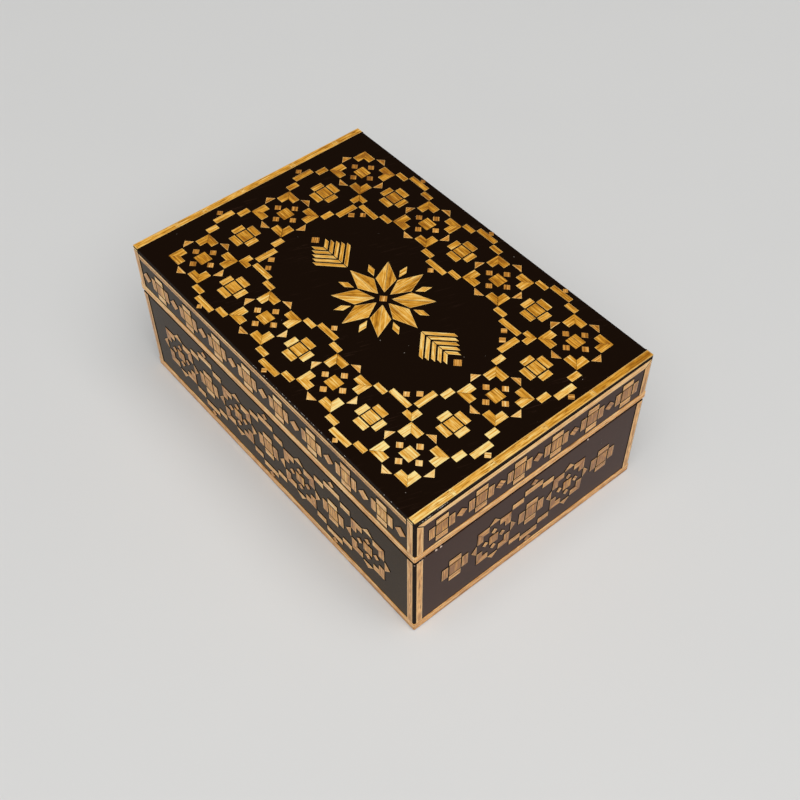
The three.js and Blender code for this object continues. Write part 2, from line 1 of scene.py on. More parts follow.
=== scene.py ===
"""A straw inlay box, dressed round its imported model.

A small hinged keepsake box of dark stained boards. Every outer face carries a coat of black lacquer with a
traditional pattern of stars and crosses laid in flattened straw, edged with straw strips. Everything is in
metres, +Z up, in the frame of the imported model: X runs across the box, Y along it, and the front is the short
side at -Y.
"""

from __future__ import annotations

import logging
import math
import random
from dataclasses import dataclass
from dataclasses import field
from enum import Enum
from functools import cached_property
from typing import Iterable
from typing import Sequence

import bmesh
import bpy
from mathutils import Matrix
from mathutils import Vector

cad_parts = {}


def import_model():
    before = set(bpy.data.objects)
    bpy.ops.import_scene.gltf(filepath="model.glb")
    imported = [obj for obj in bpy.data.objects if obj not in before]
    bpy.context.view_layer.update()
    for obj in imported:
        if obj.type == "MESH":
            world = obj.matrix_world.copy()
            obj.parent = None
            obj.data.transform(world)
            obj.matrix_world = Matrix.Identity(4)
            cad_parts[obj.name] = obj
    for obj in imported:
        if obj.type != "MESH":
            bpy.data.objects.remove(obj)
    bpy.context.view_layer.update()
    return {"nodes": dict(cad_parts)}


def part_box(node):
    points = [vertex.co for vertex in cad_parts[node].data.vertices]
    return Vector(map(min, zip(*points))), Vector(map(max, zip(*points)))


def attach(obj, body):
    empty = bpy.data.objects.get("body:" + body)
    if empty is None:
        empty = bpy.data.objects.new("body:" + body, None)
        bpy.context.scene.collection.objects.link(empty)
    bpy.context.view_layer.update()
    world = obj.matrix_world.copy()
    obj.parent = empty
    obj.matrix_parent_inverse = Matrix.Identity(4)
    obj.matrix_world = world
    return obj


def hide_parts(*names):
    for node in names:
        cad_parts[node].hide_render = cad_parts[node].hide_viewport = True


LOG = logging.getLogger("straw_box")

MM = 0.001
GRAIN_MAP = "grain"
STRAW_LAYER = "straw"
CREEP_LAYER = "creep"

# The grain of each piece starts at a random place on the map, up to this many millimetres out
GRAIN_REACH = 400
# Two pieces of straw cut alike differ in tone by up to this much, either way
TONE_LUCK = 0.10
# Points of the model this near each other are one point
WELD = 0.002 * MM
# What reaches this near to the highest straw is its upper face, and not the ground
STRAW_WITHIN = 0.02 * MM
# Corners this near to a side of the rectangle round them lie on it
SIDE_WITHIN = 0.01 * MM
# An outline turns at a corner if the sine of its turn is more than this
LEAST_TURN = 0.02

Colour = tuple[float, float, float]
Box = tuple[Vector, Vector]


class Part(Enum):
    """A half of the box, by its name in the names of pieces and nodes."""

    BASE = "base"
    LID = "lid"


class Side(Enum):
    """A face of the box, by its directions across, up and out as seen from outside."""

    LEFT = ((0, -1, 0), (0, 0, 1), (-1, 0, 0))
    RIGHT = ((0, 1, 0), (0, 0, 1), (1, 0, 0))
    FRONT = ((1, 0, 0), (0, 0, 1), (0, -1, 0))
    BACK = ((-1, 0, 0), (0, 0, 1), (0, 1, 0))
    TOP = ((1, 0, 0), (0, 1, 0), (0, 0, 1))

    @property
    def label(self) -> str:
        """The face's name as it stands in the names of pieces and nodes."""
        return self.name.lower()

    @property
    def axes(self) -> tuple[Vector, Vector, Vector]:
        """The directions across the face, up it and out of it."""
        return tuple(Vector(axis) for axis in self.value)

    @property
    def out(self) -> Vector:
        """The direction out of the face."""
        return self.axes[2]

    def flat(self, point: Vector) -> Vector:
        """The place of a point on the face, as a pair across and up."""
        across, up, _ = self.axes
        return Vector((point.dot(across), point.dot(up)))

    def place(self, spot: Vector, depth: float) -> Vector:
        """The point over a spot on the face, at a height along the outward direction."""
        across, up, out = self.axes
        return across * spot.x + up * spot.y + out * depth


UPRIGHT_SIDES = (Side.LEFT, Side.RIGHT, Side.FRONT, Side.BACK)
LONG_SIDES = (Side.LEFT, Side.RIGHT)


@dataclass(frozen=True, eq=False)
class Wire:
    """An output of a shader node, on which Python's operators add Math nodes."""

    sheet: "NodeSheet"
    socket: bpy.types.NodeSocket | None

    def _math(self, operation: str, *values: "Wire | float") -> "Wire":
        """The result of a Math node with these values."""
        return self.sheet.node("ShaderNodeMath", {"operation": operation}, dict(enumerate(values)))

    def __add__(self, other: "Wire | float") -> "Wire":
        """The sum."""
        return self._math("ADD", self, other)

    __radd__ = __add__

    def __sub__(self, other: "Wire | float") -> "Wire":
        """The difference."""
        return self._math("SUBTRACT", self, other)

    def __rsub__(self, other: float) -> "Wire":
        """The difference from a number."""
        return self._math("SUBTRACT", other, self)

    def __mul__(self, other: "Wire | float") -> "Wire":
        """The product."""
        return self._math("MULTIPLY", self, other)

    def __gt__(self, other: "Wire | float") -> "Wire":
        """One where this is the greater, and zero elsewhere."""
        return self._math("GREATER_THAN", self, other)

    def __lt__(self, other: "Wire | float") -> "Wire":
        """One where this is the smaller, and zero elsewhere."""
        return self._math("LESS_THAN", self, other)

    def __abs__(self) -> "Wire":
        """The size without its sign."""
        return self._math("ABSOLUTE", self)


@dataclass(frozen=True)
class Noise:
    """Cloudy noise about a half. A stretch draws it out along each direction by a factor of its own."""

    scale: float = 1.0
    detail: float = 2.0
    roughness: float = 0.5
    stretch: Colour | None = None


class NodeSheet:
    """The node tree of one material or world, emptied and ready for new nodes."""

    def __init__(self, tree: bpy.types.NodeTree) -> None:
        """Empties the tree."""
        self.tree = tree
        self.tree.nodes.clear()

    def node(
        self,
        kind: str,
        settings: dict[str, object] | None = None,
        inputs: dict[int | str, object] | None = None,
        output: int | str = 0,
    ) -> Wire:
        """Adds a node.

        Args:
            kind: the node's type.
            settings: its own settings, and the stops of a ramp under "stops".
            inputs: values or wires for its sockets, by index or name.
            output: the output to hand back.

        Returns:
            The output, as a wire.
        """
        made = self.tree.nodes.new(kind)
        for name, value in (settings or {}).items():
            if name == "stops":
                self._set_stops(made.color_ramp, value)
            else:
                setattr(made, name, value)
        for name, value in (inputs or {}).items():
            if isinstance(value, Wire):
                self.tree.links.new(value.socket, made.inputs[name])
            else:
                made.inputs[name].default_value = value
        return Wire(self, made.outputs[output] if made.outputs else None)

    @staticmethod
    def _set_stops(ramp: bpy.types.ColorRamp, stops: Sequence[tuple[float, Colour]]) -> None:
        """Gives a ramp its stops.

        Args:
            ramp: the ramp.
            stops: the position and the colour of each stop.
        """
        while len(ramp.elements) < len(stops):
            ramp.elements.new(1.0)
        for element, (position, colour) in zip(ramp.elements, stops):
            element.position = position
            element.color = (*colour, 1.0)

    @cached_property
    def place(self) -> Wire:
        """The place on the piece, in metres in the frame of the model."""
        return self.node("ShaderNodeTexCoord", output="Object")

    @cached_property
    def axes(self) -> tuple[Wire, ...]:
        """How far across, along and up the box that place is."""
        return self.split("XYZ", self.place)

    def split(self, kind: str, source: Wire) -> tuple[Wire, ...]:
        """The three parts of a place, kind XYZ, or of a colour, kind Color."""
        return tuple(self.node(f"ShaderNodeSeparate{kind}", None, {0: source}, output=k) for k in range(3))

    def attribute(self, name: str, output: str) -> Wire:
        """An output of a layer of the mesh."""
        return self.node("ShaderNodeAttribute", {"attribute_name": name}, output=output)

    def ramp(self, factor: Wire, places: Sequence[float], colours: Sequence[Colour]) -> Wire:
        """A colour ramp with these places and colours, read at a factor."""
        return self.node("ShaderNodeValToRGB", {"stops": tuple(zip(places, colours))}, {"Fac": factor})

    def span(self, value: Wire, low: float, high: float) -> Wire:
        """A value's place between two limits, from zero to one."""
        settings = {"clamp": True, "interpolation_type": "SMOOTHSTEP"}
        return self.node("ShaderNodeMapRange", settings, {"Value": value, "From Min": low, "From Max": high})

    def blend(self, factor: Wire | float, first: Wire | Colour, second: Wire | Colour) -> Wire:
        """Mixes two colours.

        Args:
            factor: how much of the second there is, from zero to one.
            first: the first colour.
            second: the second colour.

        Returns:
            The mixed colour.
        """
        first, second = ((*c, 1.0) if isinstance(c, tuple) else c for c in (first, second))
        inputs = {0: factor, 6: first, 7: second}
        return self.node("ShaderNodeMix", {"data_type": "RGBA", "clamp_factor": True}, inputs, output=2)

    def noise(self, kind: Noise, where: Wire | None = None) -> Wire:
        """Adds noise.

        Args:
            kind: its scale, detail, roughness and stretch.
            where: the place that it depends on, or None for the place on the piece.

        Returns:
            Its value there.
        """
        spot = self.place if where is None else where
        if kind.stretch is not None:
            inputs = {"Vector": spot, "Scale": kind.stretch}
            spot = self.node("ShaderNodeMapping", {"vector_type": "TEXTURE"}, inputs)
        inputs = {"Vector": spot, "Scale": kind.scale, "Detail": kind.detail, "Roughness": kind.roughness}
        return self.node("ShaderNodeTexNoise", None, inputs)

    def cells(self, scale: float) -> tuple[Wire, Wire, Wire]:
        """Scatters spots over the piece.

        Args:
            scale: how many there are to the metre.

        Returns:
            The distance from the nearest spot, and that spot's luck and size by chance, from zero to one.
        """
        inputs = {"Vector": self.place, "Scale": scale}
        distance, chance = (
            self.node("ShaderNodeTexVoronoi", None, inputs, output=name) for name in ("Distance", "Color")
        )
        luck, size, _ = self.split("Color", chance)
        return distance, luck, size

    def bump(self, height: Wire, strength: float, distance: float) -> Wire:
        """The normal that a height gives."""
        inputs = {"Height": height, "Strength": strength, "Distance": distance}
        return self.node("ShaderNodeBump", None, inputs)


class MaterialSheet(NodeSheet):
    """The node sheet of a new material."""

    def __init__(self, name: str) -> None:
        """Makes the material.

        Args:
            name: its name.
        """
        self.material = bpy.data.materials.new(name)
        self.material.use_nodes = True
        super().__init__(self.material.node_tree)

    def surface(self, values: dict[str, object]) -> bpy.types.Material:
        """Ends the material in a Principled surface.

        Args:
            values: values or wires for its sockets, by name.

        Returns:
            The material.
        """
        shader = self.node("ShaderNodeBsdfPrincipled", None, values)
        self.node("ShaderNodeOutputMaterial", None, {"Surface": shader})
        return self.material


@dataclass(frozen=True)
class StrawFinish:
    """Flattened rye straw under clear lacquer: glossy fibres, amber, with painted light making the sides paler
    and pinker.

    It reads the grain map in millimetres, and the straw layer as tone, blush, pale edge and share of flecks.
    The tone carries painted highlight, sheen and shade as well as the straw's own tone, and the blush picks the
    side ramp of painted light.
    """

    places: tuple[float, ...] = (0.0, 0.32, 0.64, 1.0)
    top_shades: tuple[Colour, ...] = (
        (0.290, 0.100, 0.005), (0.590, 0.251, 0.014), (0.870, 0.440, 0.063), (1.000, 0.790, 0.315),
    )
    # Painted light: the same straw as the top, painted paler and pinker as the sides are lit
    side_shades: tuple[Colour, ...] = (
        (0.270, 0.097, 0.009), (0.540, 0.228, 0.046), (0.820, 0.412, 0.122), (1.000, 0.670, 0.305),
    )
    # Pale rims: partly the straw's own paler edge, partly a painted highlight where the eased rim catches light
    top_edge: Colour = (0.95, 0.64, 0.22)
    side_edge: Colour = (1.0, 0.64, 0.28)
    streaks: Noise = Noise(roughness=0.55, stretch=(12.0, 0.42, 1.0))
    fibres: Noise = Noise(stretch=(7.0, 0.18, 1.0))
    clouds: Noise = Noise(stretch=(2.6, 1.0, 1.0))
    flecks: Noise = Noise(detail=1.0, stretch=(3.4, 0.25, 1.0))
    streak_depth: float = 1.70
    fibre_depth: float = 0.95
    cloud_depth: float = 0.85
    fleck_limits: tuple[float, float] = (0.58, 0.74)
    streak_relief: float = 0.6
    fibre_relief: float = 0.4
    relief: float = 0.30
    relief_depth: float = 0.03 * MM
    roughness: float = 0.38
    uneven: float = 0.16
    sheen: float = 0.3
    coat: float = 0.3
    coat_roughness: float = 0.12

    def make(self) -> bpy.types.Material:
        """Makes the material.

        Returns:
            The material.
        """
        sheet = MaterialSheet("straw")
        grain = sheet.node("ShaderNodeUVMap", {"uv_map": GRAIN_MAP})
        tone, blush, edge = sheet.split("Color", sheet.attribute(STRAW_LAYER, "Color"))
        streak, fibre, cloud, fleck = (
            sheet.noise(kind, grain) for kind in (self.streaks, self.fibres, self.clouds, self.flecks)
        )
        shade = tone + (streak - 0.5) * self.streak_depth + (fibre - 0.5) * self.fibre_depth
        shade = shade + (cloud - 0.5) * self.cloud_depth
        shade = shade - sheet.span(fleck, *self.fleck_limits) * sheet.attribute(STRAW_LAYER, "Alpha")
        # The side ramp is painted side light; small pieces on the top take a little of it as a pinker hue
        amber, side_lit = (
            sheet.ramp(shade, self.places, shades) for shades in (self.top_shades, self.side_shades)
        )
        pale = sheet.blend(blush, self.top_edge, self.side_edge)
        height = streak * self.streak_relief + fibre * self.fibre_relief
        return sheet.surface({
            "Base Color": sheet.blend(edge, sheet.blend(blush, amber, side_lit), pale),
            "Roughness": self.roughness + (fibre - 0.5) * self.uneven,
            "Specular IOR Level": self.sheen,
            "Coat Weight": self.coat,
            "Coat Roughness": self.coat_roughness,
            "Normal": sheet.bump(height, self.relief, self.relief_depth),
        })


@dataclass(frozen=True)
class WornLine:
    """A painted highlight: a hairline of glint along an arris, broken by chance."""

    low: Vector
    high: Vector
    cover: float


@dataclass(frozen=True)
class LacquerFinish:
    """Black lacquer over dark stain: nearly a mirror, a little wavy, dusty and nicked, with painted light and
    shade.

    A share is how far a flaw covers the colour under it, and limits are where it starts and ends. Cells are
    spots to the metre, and their reach and spread are shares of a cell.
    """

    top_black: Colour = (0.0096, 0.0046, 0.0024)
    # Painted light: the sides' base is painted lighter than the top's black, brown on the long sides, plum on
    # the ends
    side_brown: Colour = (0.0300, 0.0145, 0.0012)
    end_plum: Colour = (0.0535, 0.0255, 0.0185)
    mottle: Colour = (0.0420, 0.0220, 0.0150)
    dust: Colour = (0.30, 0.26, 0.22)
    scratch: Colour = (0.045, 0.022, 0.014)
    nick: Colour = (0.70, 0.52, 0.42)
    bare: Colour = (0.88, 0.84, 0.78)
    mottle_share: float = 0.8
    dust_share: float = 0.8
    scratch_share: float = 0.5
    bare_share: float = 0.85
    # Painted shade: the sides are painted black from here up, under the top's arrises
    top_from: float = 47.40 * MM
    top_to: float = 48.9 * MM
    # Painted shadow: black along the seam between lid and base
    rim_limits: tuple[float, float] = (31.40 * MM, 32.80 * MM)
    nick_limits: tuple[float, float] = (30.90 * MM, 31.62 * MM)
    side_from: float = 39.4 * MM
    front_from: float = -60.5 * MM
    corner: Vector = Vector((39.05, 59.30, 0.0)) * MM
    middle_y: float = -1.325 * MM
    mirror: float = 1.138
    roughness: float = 0.08
    uneven: float = 0.05
    dulled: float = 0.40
    clouds: Noise = Noise(260.0, 4.0, 0.6)
    cloud_limits: tuple[float, float] = (0.50, 0.85)
    cloud_relief: float = 0.2
    waves: Noise = Noise(150.0, 2.0, 0.45)
    relief: float = 0.18
    relief_depth: float = 0.05 * MM
    scratches: Noise = Noise(500.0, 2.0, 0.6, (4.0, 0.16, 1.0))
    scratch_turn: float = 0.35
    scratch_from: float = 0.655
    patches: Noise = Noise(60.0, 1.0)
    patch_limits: tuple[float, float] = (0.45, 0.70)
    dust_cells: float = 400.0
    dust_from: float = 0.72
    dust_reach: float = 0.060
    nick_cells: float = 900.0
    nick_from: float = 0.90
    nick_reach: float = 0.12
    nick_spread: float = 0.22
    near_luck: float = 0.66
    near_limits: tuple[float, float] = (-38 * MM, 5 * MM)
    breaks: Noise = Noise(1500.0, 1.0)
    break_from: float = 0.74
    cover_luck: float = 0.35
    # Painted highlights: near-white glints along the arrises
    worn_lines: tuple[WornLine, ...] = (
        WornLine(Vector((-38.3, -62.0, 47.72)) * MM, Vector((-33.0, -60.7, 47.90)) * MM, 0.80),
        WornLine(Vector((-33.3, -62.0, 48.30)) * MM, Vector((-29.4, -60.7, 48.48)) * MM, 0.80),
        WornLine(Vector((-39.8, -36.0, 48.55)) * MM, Vector((-39.3, 2.0, 48.68)) * MM, 0.45),
        WornLine(Vector((-39.8, -57.0, 48.55)) * MM, Vector((-39.3, -50.0, 48.68)) * MM, 0.25),
    )

    def make(self) -> bpy.types.Material:
        """Makes the material.

        Returns:
            The material.
        """
        sheet = MaterialSheet("black_lacquer")
        across, _, height = sheet.axes
        clouds = sheet.noise(self.clouds)
        dark = self._dark(sheet)
        waves = sheet.noise(self.waves) + clouds * self.cloud_relief
        # Painted light: the lighter base of the sides, by face
        sides = sheet.blend(abs(across) < self.side_from, self.side_brown, self.end_plum)
        mottled = sheet.blend(sheet.span(clouds, *self.cloud_limits) * self.mottle_share, sides, self.mottle)
        body = sheet.blend(dark, mottled, self.top_black)
        for cover, colour in (
            (self._scratches(sheet) * self.scratch_share, self.scratch),
            (self._specks(sheet) * self.dust_share, self.dust),
            (self._nicks(sheet), self.nick),
            (self._worn(sheet) * self.bare_share, self.bare),
        ):
            body = sheet.blend(cover, body, colour)
        off_top = dark * (height < self.top_to)
        return sheet.surface({
            "Base Color": body,
            "Roughness": self.roughness + clouds * self.uneven + off_top * self.dulled,
            "IOR": self.mirror,
            "Normal": sheet.bump(waves, self.relief, self.relief_depth),
        })

    def _dark(self, sheet: NodeSheet) -> Wire:
        """Finds where the lacquer is black: the top, painted shade under its arrises, the upright corners, a
        painted shadow along the seam and painted shade on the slopes up the straw.

        Args:
            sheet: the sheet of the material.

        Returns:
            One there, and zero elsewhere.
        """
        across, along, height = sheet.axes
        on_corner = (abs(across) > self.corner.x) * (abs(along - self.middle_y) > self.corner.y)
        on_rim = self._between(height, self.rim_limits)
        return (height > self.top_from) + on_corner + on_rim + sheet.attribute(CREEP_LAYER, "Fac") > 0.5

    @staticmethod
    def _between(value: Wire, ends: Sequence[float]) -> Wire:
        """One where a value lies between two ends, and zero elsewhere."""
        return (value > ends[0]) * (value < ends[1])

    def _specks(self, sheet: NodeSheet) -> Wire:
        """Grains of dust caught in the lacquer, here and there."""
        distance, luck, size = sheet.cells(self.dust_cells)
        return (luck > self.dust_from) * (distance < size * self.dust_reach)

    def _scratches(self, sheet: NodeSheet) -> Wire:
        """Makes fine scratches that run nearly across the box, in patches.

        Args:
            sheet: the sheet of the material.

        Returns:
            How much they cover, from zero to one.
        """
        turn = {"Vector": sheet.place, "Rotation": (0.0, 0.0, self.scratch_turn)}
        lines = sheet.noise(self.scratches, sheet.node("ShaderNodeMapping", None, turn))
        return (lines > self.scratch_from) * sheet.span(sheet.noise(self.patches), *self.patch_limits)

    def _nicks(self, sheet: NodeSheet) -> Wire:
        """Makes nicks along the base's upper rim, most of them on the front near its left corner.

        Args:
            sheet: the sheet of the material.

        Returns:
            One on a nick, and zero elsewhere.
        """
        across, along, height = sheet.axes
        distance, luck, size = sheet.cells(self.nick_cells)
        near = (along < self.front_from) * (1.0 - sheet.span(across, *self.near_limits))
        here = self._between(height, self.nick_limits) * (luck + near * self.near_luck > self.nick_from)
        return here * (distance < self.nick_reach + size * self.nick_spread)

    def _worn(self, sheet: NodeSheet) -> Wire:
        """Makes the painted highlights: hairlines of glint along the arrises of the top.

        Args:
            sheet: the sheet of the material.

        Returns:
            One on a hairline, and zero elsewhere.
        """
        breaks = sheet.noise(self.breaks)
        total = 0.0
        for line in self.worn_lines:
            inside = breaks > self.break_from - self.cover_luck * line.cover
            for value, *ends in zip(sheet.axes, line.low, line.high):
                inside = inside * self._between(value, ends)
            total = inside + total
        return total


@dataclass(frozen=True)
class WoodFinish:
    """Boards stained dark reddish brown, with their grain along the box, and black along the rims."""

    dark: Colour = (0.022, 0.009, 0.005)
    warm: Colour = (0.085, 0.034, 0.016)
    rim: Colour = (0.010, 0.005, 0.0035)
    seam: float = 32.2 * MM
    rim_reach: float = 0.35 * MM
    rings: Noise = Noise(420.0, 4.0, 0.6, (1.0, 14.0, 1.0))
    ring_limits: tuple[float, float] = (0.30, 0.72)
    ring_relief: float = 0.4
    pores: Noise = Noise(2600.0, 2.0, 0.6, (1.0, 9.0, 1.0))
    pore_depth: float = 0.5
    pore_relief: float = 0.6
    relief: float = 0.30
    relief_depth: float = 0.05 * MM
    roughness: float = 0.34
    uneven: float = 0.22

    def make(self) -> bpy.types.Material:
        """Makes the material.

        Returns:
            The material.
        """
        sheet = MaterialSheet("stained_wood")
        height = sheet.axes[2]
        rings = sheet.noise(self.rings)
        pores = sheet.noise(self.pores)
        shade = sheet.span(rings + (pores - 0.5) * self.pore_depth, *self.ring_limits)
        body = sheet.blend(shade, self.dark, self.warm)
        grain = rings * self.ring_relief + pores * self.pore_relief
        on_rim = (abs(height - self.seam) < self.rim_reach) + (height < self.rim_reach)
        return sheet.surface({
            "Base Color": sheet.blend(on_rim, body, self.rim),
            "Roughness": self.roughness + pores * self.uneven,
            "Normal": sheet.bump(grain, self.relief, self.relief_depth),
        })


@dataclass(frozen=True)
class BrassFinish:
    """Thin rolled brass, a little dulled, brown where it has tarnished."""

    bright: Colour = (0.74, 0.53, 0.22)
    tarnish: Colour = (0.30, 0.19, 0.08)
    patches: Noise = Noise(520.0, 4.0, 0.6)
    patch_limits: tuple[float, float] = (0.45, 0.75)
    brushed: Noise = Noise(6000.0, stretch=(12.0, 1.0, 1.0))
    relief: float = 0.25
    relief_depth: float = 0.01 * MM
    roughness: float = 0.26
    uneven: float = 0.22

    def make(self) -> bpy.types.Material:
        """Makes the material.

        Returns:
            The material.
        """
        sheet = MaterialSheet("brass")
        patches = sheet.noise(self.patches)
        tarnished = sheet.span(patches, *self.patch_limits)
        return sheet.surface({
            "Base Color": sheet.blend(tarnished, self.bright, self.tarnish),
            "Metallic": 1.0,
            "Roughness": self.roughness + patches * self.uneven,
            "Normal": sheet.bump(sheet.noise(self.brushed), self.relief, self.relief_depth),
        })


@dataclass(frozen=True)
class PaperFinish:
    """The pale grey seamless sheet that the box stands on, which fades into the backdrop far out."""

    light: Colour = (0.712, 0.711, 0.700)
    shade: Colour = (0.684, 0.683, 0.675)
    clouds: Noise = Noise(9.0, 3.0, 0.6)
    roughness: float = 0.75
    fades_from: float = 0.9
    gone_at: float = 2.6

    def make(self) -> bpy.types.Material:
        """Makes the material.

        Returns:
            The material.
        """
        sheet = MaterialSheet("pale_paper")
        length = {"operation": "LENGTH"}
        distance = sheet.node("ShaderNodeVectorMath", length, {0: sheet.place}, output="Value")
        return sheet.surface({
            "Base Color": sheet.blend(sheet.noise(self.clouds), self.light, self.shade),
            "Roughness": self.roughness,
            "Alpha": 1.0 - sheet.span(distance, self.fades_from, self.gone_at),
        })


@dataclass
class StrawPiece:
    """One piece of straw: its corners on a face, the run of its fibres, its tone at each corner, its blush.

    Its edge is how pale its eased rim is, the straw's paler edge with a painted highlight on it,
    and joint is how far its outline is drawn in on every side.
    """

    corners: list[Vector]
    run: Vector
    tones: list[float]
    blush: float = 0.0
    edge: float = 0.75
    rim: float = 0.15 * MM
    joint: float = 0.15 * MM
    fleck: float = 0.42

    @property
    def middle(self) -> Vector:
        """The mean of the corners."""
        return middle_of(self.corners)

    def move_edge(self, start: int, end: int, distance: float) -> None:
        """Moves the edge between two corners outwards.

        Args:
            start: the number of its first corner, counter-clockwise.
            end: the number of its second corner.
            distance: how far to move it.
        """
        along = (self.corners[end] - self.corners[start]).normalized()
        outwards = Vector((along.y, -along.x)) * distance
        for k in (start, end):
            self.corners[k] = self.corners[k] + outwards

    def close_up(self, start: int, end: int, half_gap: float) -> None:
        """Moves one edge, so that only this half of a gap is left to the piece beyond it."""
        self.move_edge(start, end, self.joint - half_gap)

    def nearest(self, spot: Vector) -> int:
        """The number of the corner that is nearest to a spot."""
        return min(range(len(self.corners)), key=lambda k: (self.corners[k] - spot).length)


def middle_of(corners: Sequence[Vector]) -> Vector:
    """The mean of some corners on a face."""
    return sum(corners, Vector((0.0, 0.0))) / len(corners)


def limits(outline: Iterable[Vector]) -> Box:
    """The lowest and the highest corner of the upright rectangle round an outline."""
    across, up = zip(*outline)
    return Vector((min(across), min(up))), Vector((max(across), max(up)))


def is_upright(outline: list[Vector]) -> bool:
    """Tells whether an outline is a rectangle with its sides level and upright.

    Args:
        outline: its corners.

    Returns:
        Whether it is.
    """
    low, high = limits(outline)
    return len(outline) == 4 and all(
        min(corner[k] - low[k], high[k] - corner[k]) < SIDE_WITHIN for corner in outline for k in (0, 1)
    )


def rectangle(low: Vector, high: Vector) -> list[Vector]:
    """The corners of a rectangle, counter-clockwise."""
    places = ((low.x, low.y), (high.x, low.y), (high.x, high.y), (low.x, high.y))
    return [Vector(place) for place in places]


@dataclass(frozen=True)
class Cut:
    """How straw is cut and shaded on one kind of face.

    The joints are how far an outline is drawn in, and short_by is how much its ends are cut short. The tone
    grows from its least by painted light: the gains for height in millimetres, a painted shade lower down; for
    nearness to the corner of the painted highlight; for straw that runs across, a painted sheen; and for both
    of those at once.
    """

    least_tone: float
    height_gain: float = 0.0
    near_gain: float = 0.20
    lean_gain: float = 0.24
    near_lean_gain: float = 0.0
    free_joint: float = 0.09 * MM
    point_joint: float = 0.02 * MM
    lozenge_joint: float = 0.02 * MM
    lozenge_growth: float = 0.0
    short_by: float = 0.05 * MM
    square_lift: float = -0.06
    # How far the straw takes the side ramp, the sides' painted light
    blush: float = 0.85


TOP_CUT = Cut(
    0.21, near_gain=0.64, lean_gain=0.10, near_lean_gain=0.20, free_joint=0.02 * MM, point_joint=0.09 * MM,
    lozenge_joint=0.03 * MM, lozenge_growth=0.70, short_by=0.16 * MM, square_lift=-0.03, blush=0.0,
)
# Painted shade: side straw is painted darker lower down, and the short sides darker than the long ones
LONG_CUT = Cut(0.22, height_gain=0.004, free_joint=0.12 * MM, lozenge_joint=0.09 * MM)
SHORT_CUT = Cut(-0.04, height_gain=0.003)


